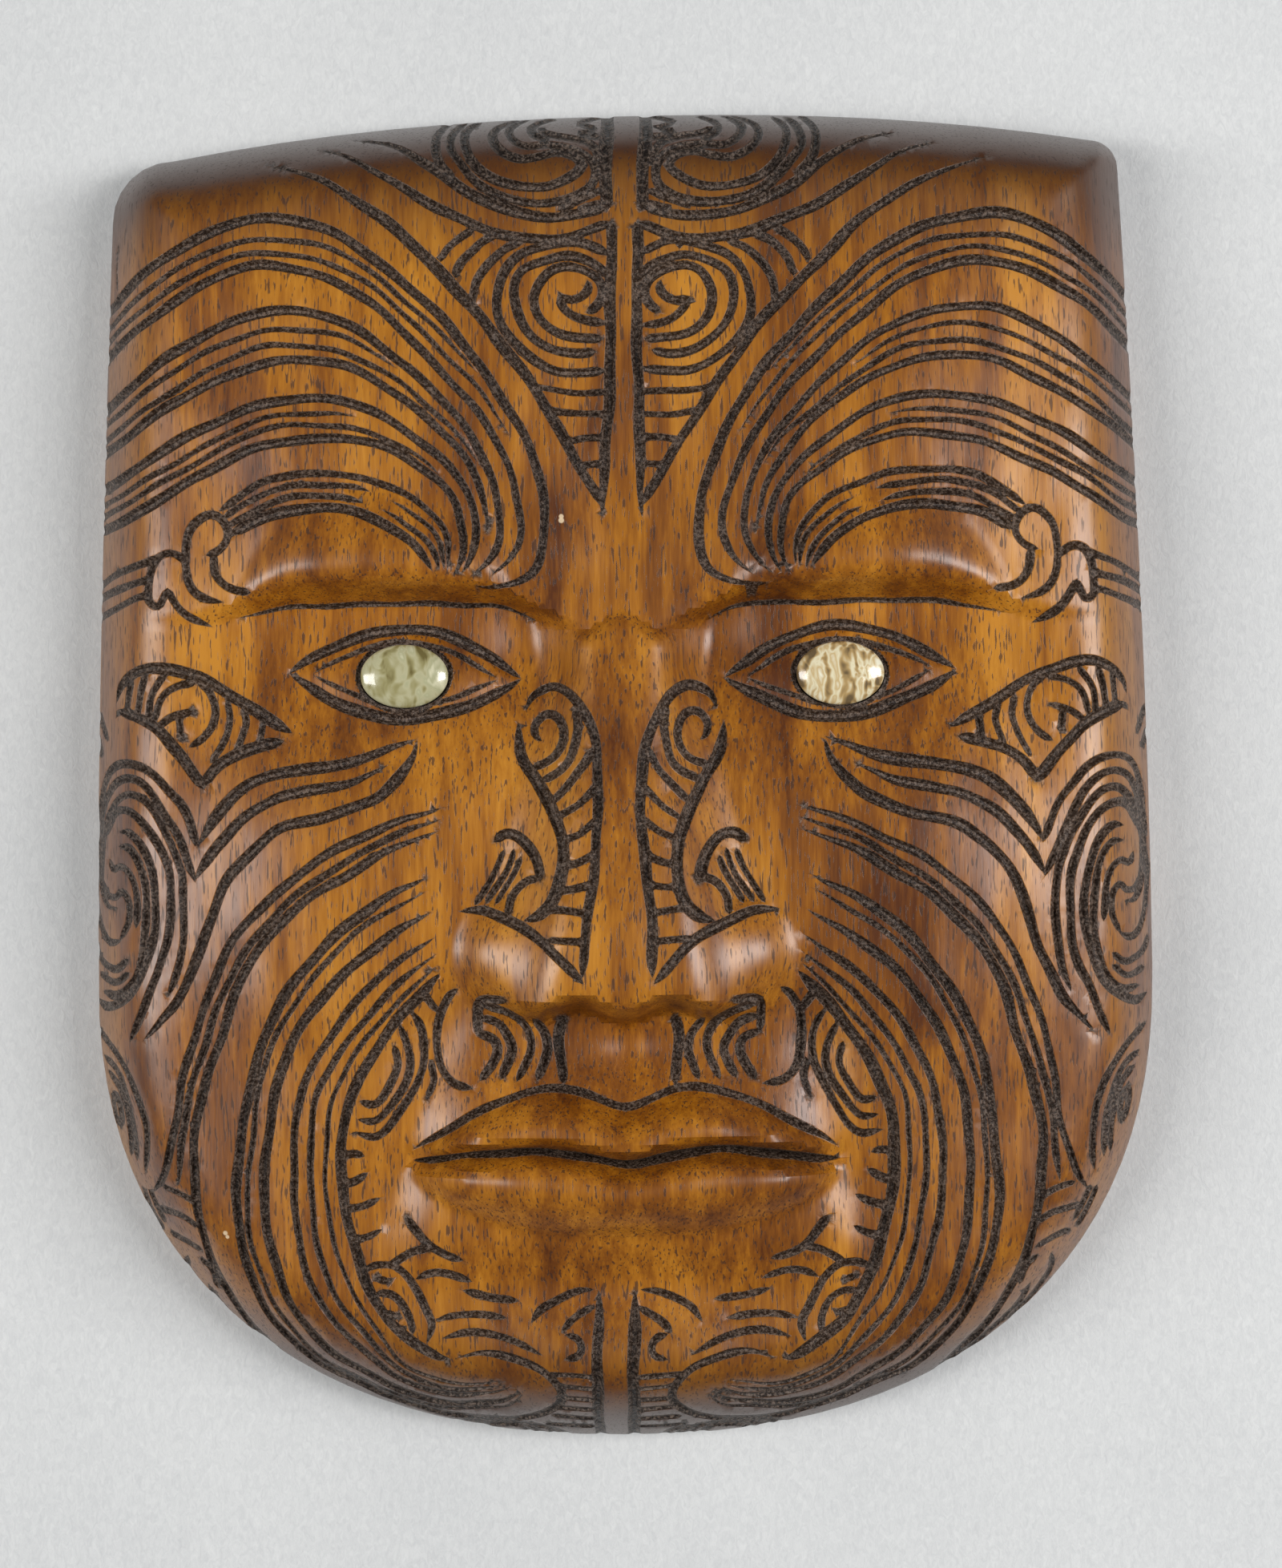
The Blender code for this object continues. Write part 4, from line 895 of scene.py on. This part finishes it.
def close_board(verts, marks, faces, rim, pocket_rims, pockets, outline):
    """Add the pockets' walls and floors, the outer wall, the back and the hanging hole to the front."""
    verts = list(map(tuple, verts.tolist()))
    marks = list(map(tuple, marks.tolist()))

    def add_row(points, mark):
        start = len(verts)
        verts.extend(map(tuple, np.asarray(points).tolist()))
        marks.extend([mark] * len(points))
        return np.arange(start, start + len(points))

    # The pocket floors carry a full cut depth and closeness: groove colour and painted shade.
    for row, (_, _, floor) in zip(pocket_rims, pockets):
        plan = np.array([verts[k][:2] for k in row])
        foot = add_row(np.column_stack([plan, np.full(len(plan), floor)]), (2.0, 1.0, 60.0))
        faces += ring_faces(foot, row)
        faces.append(tuple(foot[::-1].tolist()))
    plan = np.array([verts[k][:2] for k in rim])
    # The outer wall carries edge distance 0, which gives it the full painted rim shade.
    upper = add_row(np.column_stack([plan, np.full(len(plan), RIM_WALL * 0.55)]), (0.0, 0.0, 0.0))
    lower = add_row(np.column_stack([plan, np.full(len(plan), BACK_EDGE_BREAK)]), (0.0, 0.0, 0.0))
    back_loop = inset(outline, BACK_EDGE_BREAK / UNIT[0], 1.0)[:len(plan)] * UNIT
    back = add_row(np.column_stack([back_loop, np.zeros(len(plan))]), (0.0, 0.0, 0.0))
    for first, second in ((upper, rim), (lower, upper), (back, lower)):
        faces += ring_faces(first, second)
    hole_loop = oval_loop((0, HOLE_HEIGHT), HOLE_RADIUS, HOLE_RADIUS, 32)
    # The hole carries cut marks too: groove colour and painted shade inside it.
    mouth = add_row(np.column_stack([hole_loop, np.zeros(32)]), (0.6, 0.5, 3.0))
    bottom = add_row(np.column_stack([hole_loop, np.full(32, HOLE_DEPTH)]), (1.6, 1.0, 3.0))
    faces += ring_faces(bottom, mouth)
    faces.append(tuple(bottom.tolist()))
    places, back_faces, sources = triangulated([back_loop / UNIT, hole_loop / UNIT], np.empty((0, 2)))
    where = np.concatenate([back, mouth])
    middles = places[back_faces].mean(axis=1)
    back_faces = back_faces[~in_oval(middles, (0, HOLE_HEIGHT / UNIT[1]), HOLE_RADIUS / UNIT[0],
        HOLE_RADIUS / UNIT[1])]
    faces += [tuple(where[sources[k]] for k in face[::-1]) for face in back_faces.tolist()]
    return verts, faces, np.array(marks)


def add_piece(name, verts, faces, finish, sharp_angle=None):
    """A mesh object at the origin with its faces pointing out."""
    mesh = bpy.data.meshes.new(name)
    mesh.from_pydata(verts, [], faces)
    mesh.materials.append(finish)
    shape = bmesh.new()
    shape.from_mesh(mesh)
    bmesh.ops.recalc_face_normals(shape, faces=shape.faces)
    shape.to_mesh(mesh)
    shape.free()
    mesh.shade_smooth()
    if sharp_angle:
        mesh.set_sharp_from_angle(angle=np.radians(sharp_angle))
    piece = bpy.data.objects.new(name, mesh)
    bpy.context.scene.collection.objects.link(piece)
    return piece


def carve_board(finish):
    """The board with every cut, in place of the plainer CAD board."""
    verts, faces, marks = board_faces()
    piece = add_piece("carved_board", verts, faces, finish, 32)
    for name, values in zip(("cut_depth", "cut_closeness", "edge_distance"), marks.T):
        attribute = piece.data.attributes.new(name, "FLOAT", "POINT")
        attribute.data.foreach_set("value", values.astype(np.float32))
    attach(piece, "root")
    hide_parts("mask_body")
    return piece


def set_shell(name, node, side, finish):
    """A shell eye as rings: z = edge + dome * (1 - r^2.6)^0.62, a rounded upright edge and a flat underside.
    """
    middle, half, floor, top = shell_box(side)
    count = 96
    edge_top = floor + SHELL_EDGE - 0.0003
    radii = np.concatenate([[0.08], np.linspace(0.2, 0.9, 9), [0.945, 0.975, 0.993, 1.0, 1.0, 0.99]])
    dome = edge_top + (top - edge_top) * (1 - radii[:13] ** 2.6) ** 0.62
    levels = np.concatenate([dome, [edge_top, floor + 0.0001, floor]])
    angle = np.linspace(0, 2 * np.pi, count, endpoint=False)
    turn = np.column_stack([np.cos(angle), np.sin(angle)])
    verts = [(*middle, top)]
    faces = []
    rows = []
    for radius, level in zip(radii, levels):
        rows.append(np.arange(len(verts), len(verts) + count))
        ring = middle + turn * half * radius
        verts += [(x, y, level) for x, y in ring.tolist()]
    faces += [(0, a, b) for a, b in zip(rows[0], np.roll(rows[0], -1))]
    for first, second in zip(rows[:-1], rows[1:]):
        faces += ring_faces(second, first)
    faces.append(tuple(rows[-1][::-1].tolist()))
    piece = add_piece(name, verts, faces, finish, 60)
    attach(piece, "root")
    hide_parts(node)
    return piece


class Wire:
    """A socket of a finish; arithmetic on wires and numbers adds Math nodes."""

    def __init__(self, finish, socket):
        self.finish = finish
        self.socket = socket

    def maths(self, operation, first, second=0.0):
        return self.finish.node("ShaderNodeMath", {"operation": operation}, {0: first, 1: second})

    def __add__(self, other):
        return self.maths("ADD", self, other)

    __radd__ = __add__

    def __sub__(self, other):
        return self.maths("SUBTRACT", self, other)

    def __rsub__(self, other):
        return self.maths("SUBTRACT", other, self)

    def __mul__(self, other):
        return self.maths("MULTIPLY", self, other)

    __rmul__ = __mul__

    def __pow__(self, other):
        return self.maths("POWER", self, other)

    def ramp(self, start, end, low=0.0, high=1.0):
        """Smooth step of this value from low at start to high at end."""
        settings = {"interpolation_type": "SMOOTHSTEP"}
        inputs = {"Value": self, "From Min": start, "From Max": end, "To Min": low, "To Max": high}
        return self.finish.node("ShaderNodeMapRange", settings, inputs)


class Finish:
    """A material with one Principled shader, and short ways to add nodes to it."""

    def __init__(self, name, **constants):
        self.material = bpy.data.materials.new(name)
        self.material.use_nodes = True
        self.tree = self.material.node_tree
        self.shader = self.tree.nodes["Principled BSDF"]
        self.set_inputs(self.shader, constants)

    def set_inputs(self, node, inputs):
        for name, value in inputs.items():
            key = name.replace("_", " ") if isinstance(name, str) else name
            if isinstance(value, Wire):
                self.tree.links.new(value.socket, node.inputs[key])
            else:
                node.inputs[key].default_value = value

    def node(self, kind, settings=None, inputs=None, output=0):
        """Add a node: its settings first, then the values or wires of its sockets."""
        node = self.tree.nodes.new(kind)
        for name, value in (settings or {}).items():
            if name == "stops":
                self.set_stops(node.color_ramp, value)
            else:
                setattr(node, name, value)
        self.set_inputs(node, inputs or {})
        return Wire(self, node.outputs[output])

    def set_stops(self, ramp, stops):
        while len(ramp.elements) < len(stops):
            ramp.elements.new(0.5)
        for element, (place, colour) in zip(ramp.elements, stops):
            element.position = place
            element.color = (*colour, 1)

    def place(self, stretch=(1, 1, 1), shift=(0, 0, 0)):
        """Object coordinates, stretched and shifted."""
        coordinates = self.node("ShaderNodeTexCoord", output=3)
        return self.node("ShaderNodeMapping", None, {"Vector": coordinates, "Scale": stretch,
            "Location": shift})

    def noise(self, vector, scale, detail=2.0, roughness=0.5, distortion=0.0):
        inputs = {"Vector": vector, "Scale": scale, "Detail": detail, "Roughness": roughness,
            "Distortion": distortion}
        return self.node("ShaderNodeTexNoise", None, inputs)

    def nearness(self, centre, reach):
        """1 at a place on the face and 0 beyond the reach, in metres, seen from the front."""
        flat = self.node("ShaderNodeVectorMath", {"operation": "MULTIPLY"}, {0: self.place(), 1: (1, 1, 0)})
        away = self.node("ShaderNodeVectorMath", {"operation": "DISTANCE"}, {0: flat, 1: (*centre, 0)},
            output=1)
        return away.ramp(reach, reach * 0.6)

    def mark(self, name):
        """A number stored at each vertex of the piece."""
        return self.node("ShaderNodeAttribute", {"attribute_name": name}, output=2)

    def colours(self, value, stops):
        return self.node("ShaderNodeValToRGB", {"stops": stops}, {"Fac": value})

    def mix(self, share, first, second, blend="MIX"):
        """The first colour turning into the second as the share rises."""
        settings = {"data_type": "RGBA", "blend_type": blend}
        return self.node("ShaderNodeMix", settings, {0: share, 6: first, 7: second}, output=2)

    def bump(self, height, distance, strength=1.0, onto=None):
        inputs = {"Height": height, "Distance": distance, "Strength": strength}
        if onto:
            inputs["Normal"] = onto
        return self.node("ShaderNodeBump", None, inputs)

    def wear(self, **inputs):
        """Feed the shader's sockets."""
        self.set_inputs(self.shader, inputs)
        return self.material


# Small pale chips in the oiled surface: place and reach
NICKS = (((-0.0122, 0.0520), 0.0007), ((-0.0122, 0.0528), 0.0006), ((-0.0826, -0.0937), 0.0006),
         ((-0.0822, -0.0945), 0.0005))


def oiled_wood():
    """Amber to reddish brown wood: its grain runs up the face and its cuts are darker; painted shade darkens
    its top and bottom ends, the rim near its outline and the wood between close cuts.
    """
    finish = Finish("oiled reddish wood", IOR=1.42, Coat_IOR=1.5, Coat_Roughness=0.32)
    figure = finish.noise(finish.place((1, 0.22, 1)), 42, 3, 0.55, 0.6)
    stripe = finish.noise(finish.place((1, 0.10, 1)), 260, 4, 0.6, 0.2)
    hair = finish.noise(finish.place((1, 0.05, 1)), 1300, 3, 0.65)
    pore_field = finish.noise(finish.place((1, 0.11, 1), (3, 0, 0)), 2100, 1.5, 0.5)
    pores = pore_field.ramp(0.585, 0.66)
    tone = figure * 0.60 + stripe * 0.30 + hair * 0.20
    wood = finish.colours(tone, ((0.40, (0.095, 0.024, 0.002)), (0.50, (0.240, 0.075, 0.003)),
                                 (0.58, (0.40, 0.145, 0.006)), (0.68, (0.57, 0.235, 0.018))))
    edge = finish.mark("edge_distance")
    depth = finish.mark("cut_depth")
    closeness = finish.mark("cut_closeness")
    # Painted shade: the wood is darkened towards the top and bottom ends and near the outline, where the rim
    # rolls away from the lamps.
    height_up = finish.node("ShaderNodeSeparateXYZ", None, {0: finish.place()}, output=1)
    ends = height_up.ramp(0.098, 0.130, 0, 1.2) + height_up.ramp(-0.100, -0.136)
    shade = edge.ramp(22, 1, 0, 0.50) * (0.45 + figure) + ends * 0.6
    wood = finish.mix(shade, wood, (0.055, 0.017, 0.003, 1))
    # Painted shade: the wood between closely set cuts is darkened.
    wood = finish.mix(closeness.ramp(0.10, 0.75, 0, 0.20), wood, (0.110, 0.036, 0.008, 1))
    wood = finish.mix(pores * 0.75, wood, (0.035, 0.012, 0.004, 1))
    grit = finish.noise(finish.place((1, 1, 1)), 1500, 2.5, 0.65)
    stain = depth.ramp(0.03, 0.28)
    dark = finish.mix(grit.ramp(0.42, 0.66), (0.012, 0.008, 0.006, 1), (0.150, 0.112, 0.088, 1))
    wood = finish.mix(stain * 0.95, wood, dark)
    for centre, reach in NICKS:
        wood = finish.mix(finish.nearness(centre, reach) * 0.85, wood, (0.80, 0.62, 0.40, 1))
    roughness = 0.30 + figure * 0.14 + pores * 0.25 + stain * 0.06
    height = stripe * 0.30 + hair * 0.35 - pores * 0.25 + stain * grit * 3.2
    return finish.wear(Base_Color=wood, Roughness=roughness, Normal=finish.bump(height, 0.00016, 0.8),
                       Coat_Weight=(1 - stain) * 0.55)


def shell_finish(name, stops, shift):
    """Mother-of-pearl: cloudy layers of pale colour in bent bands under a clear polish."""
    finish = Finish(name, IOR=1.6, Coat_Weight=0.6, Coat_Roughness=0.04)
    clouds = finish.noise(finish.place((1, 0.4, 1), shift), 150, 1, 0.5, 2.2)
    bands = finish.noise(finish.place((1, 0.6, 1), shift), 330, 1, 0.5, 2.0)
    pearl = finish.colours(clouds * 0.75 + bands * 0.25, stops)
    return finish.wear(Base_Color=pearl, Roughness=0.10 + bands * 0.16,
                       Normal=finish.bump(clouds, 0.0004, 0.6))


def paper_finish():
    """Pale cool grey paper with fine fibres."""
    finish = Finish("pale grey paper", IOR=1.4)
    fibre = finish.noise(finish.place((1, 0.5, 1)), 900, 4, 0.65, 1.2)
    cloud = finish.noise(finish.place(), 14, 3, 0.5)
    tone = finish.colours(fibre * 0.7 + cloud * 0.3, ((0.30, (0.62, 0.64, 0.65)), (0.70,
        (0.78, 0.80, 0.80))))
    return finish.wear(Base_Color=tone, Roughness=0.85 + fibre * 0.1, Normal=finish.bump(fibre, 0.0002, 0.5))


GREEN_PEARL = ((0.34, (0.16, 0.13, 0.04)), (0.44, (0.34, 0.31, 0.14)), (0.52, (0.50, 0.48, 0.29)),
               (0.60, (0.44, 0.44, 0.26)), (0.70, (0.74, 0.72, 0.50)))
CREAM_PEARL = ((0.36, (0.16, 0.11, 0.05)), (0.44, (0.50, 0.34, 0.14)), (0.51, (0.84, 0.78, 0.54)),
               (0.58, (0.62, 0.46, 0.22)), (0.68, (0.92, 0.90, 0.70)))

# Camera over the middle of the photograph, which lies a little right of the board's middle and below it
IMAGE_SIZE = np.array([1600.0, 1957.0])
PIXELS_PER_METRE = 5878.0
BOARD_MIDDLE_PIXEL = np.array([778.5, 967.0])
CAMERA_HEIGHT = 0.56
CAMERA_ROLL = -0.45


def set_camera():
    """A camera straight above, at the distance that gives the board its size in the photograph."""
    shift = (IMAGE_SIZE / 2 - BOARD_MIDDLE_PIXEL) / PIXELS_PER_METRE
    data = bpy.data.cameras.new("camera")
    data.sensor_width = 36.0
    data.lens = 36.0 * CAMERA_HEIGHT / (IMAGE_SIZE[1] / PIXELS_PER_METRE)
    camera = bpy.data.objects.new("camera", data)
    camera.location = (shift[0], -shift[1], CAMERA_HEIGHT + RIM_WALL)
    camera.rotation_euler = (0, 0, np.radians(CAMERA_ROLL))
    bpy.context.scene.collection.objects.link(camera)
    bpy.context.scene.camera = camera


def add_light(name, place, size, power, colour):
    """A rectangular softbox that faces the middle of the face."""
    data = bpy.data.lights.new(name, "AREA")
    data.shape = "RECTANGLE"
    data.size, data.size_y = size
    data.energy = power
    data.color = colour
    light = bpy.data.objects.new(name, data)
    light.location = place
    light.rotation_euler = (Vector(place) - Vector((0, 0, 0.02))).to_track_quat("Z", "Y").to_euler()
    bpy.context.scene.collection.objects.link(light)


def set_lights():
    """A window to the left and a slightly stronger one to the right, both high over the face, and soft room
    light.
    """
    add_light("left_window", (-0.95, -0.05, 0.84), (0.4, 0.8), 10.2, (1.0, 0.98, 0.96))
    add_light("right_window", (0.90, 0.06, 0.86), (0.4, 0.8), 12.3, (1.0, 0.98, 0.97))
    world = bpy.data.worlds.new("room")
    world.use_nodes = True
    background = world.node_tree.nodes["Background"]
    background.inputs["Color"].default_value = (0.92, 0.95, 1.0, 1)
    background.inputs["Strength"].default_value = 0.12
    bpy.context.scene.world = world
    bpy.context.scene.view_settings.view_transform = "Standard"


def lay_floor():
    """The sheet of paper that the mask lies on."""
    half = 1.5
    corners = [(-half, -half, 0), (half, -half, 0), (half, half, 0), (-half, half, 0)]
    mesh = bpy.data.meshes.new("paper")
    mesh.from_pydata(corners, [], [(0, 1, 2, 3)])
    mesh.materials.append(paper_finish())
    floor = bpy.data.objects.new("paper", mesh)
    bpy.context.scene.collection.objects.link(floor)


carve_board(oiled_wood())
set_shell("shell_left", "eye_shell_left", -1, shell_finish("green gold pearl", GREEN_PEARL,
    (2, 0, 0)))
set_shell("shell_right", "eye_shell_right", 1, shell_finish("cream pearl", CREAM_PEARL,
    (0, 1, 0)))
lay_floor()
set_camera()
set_lights()
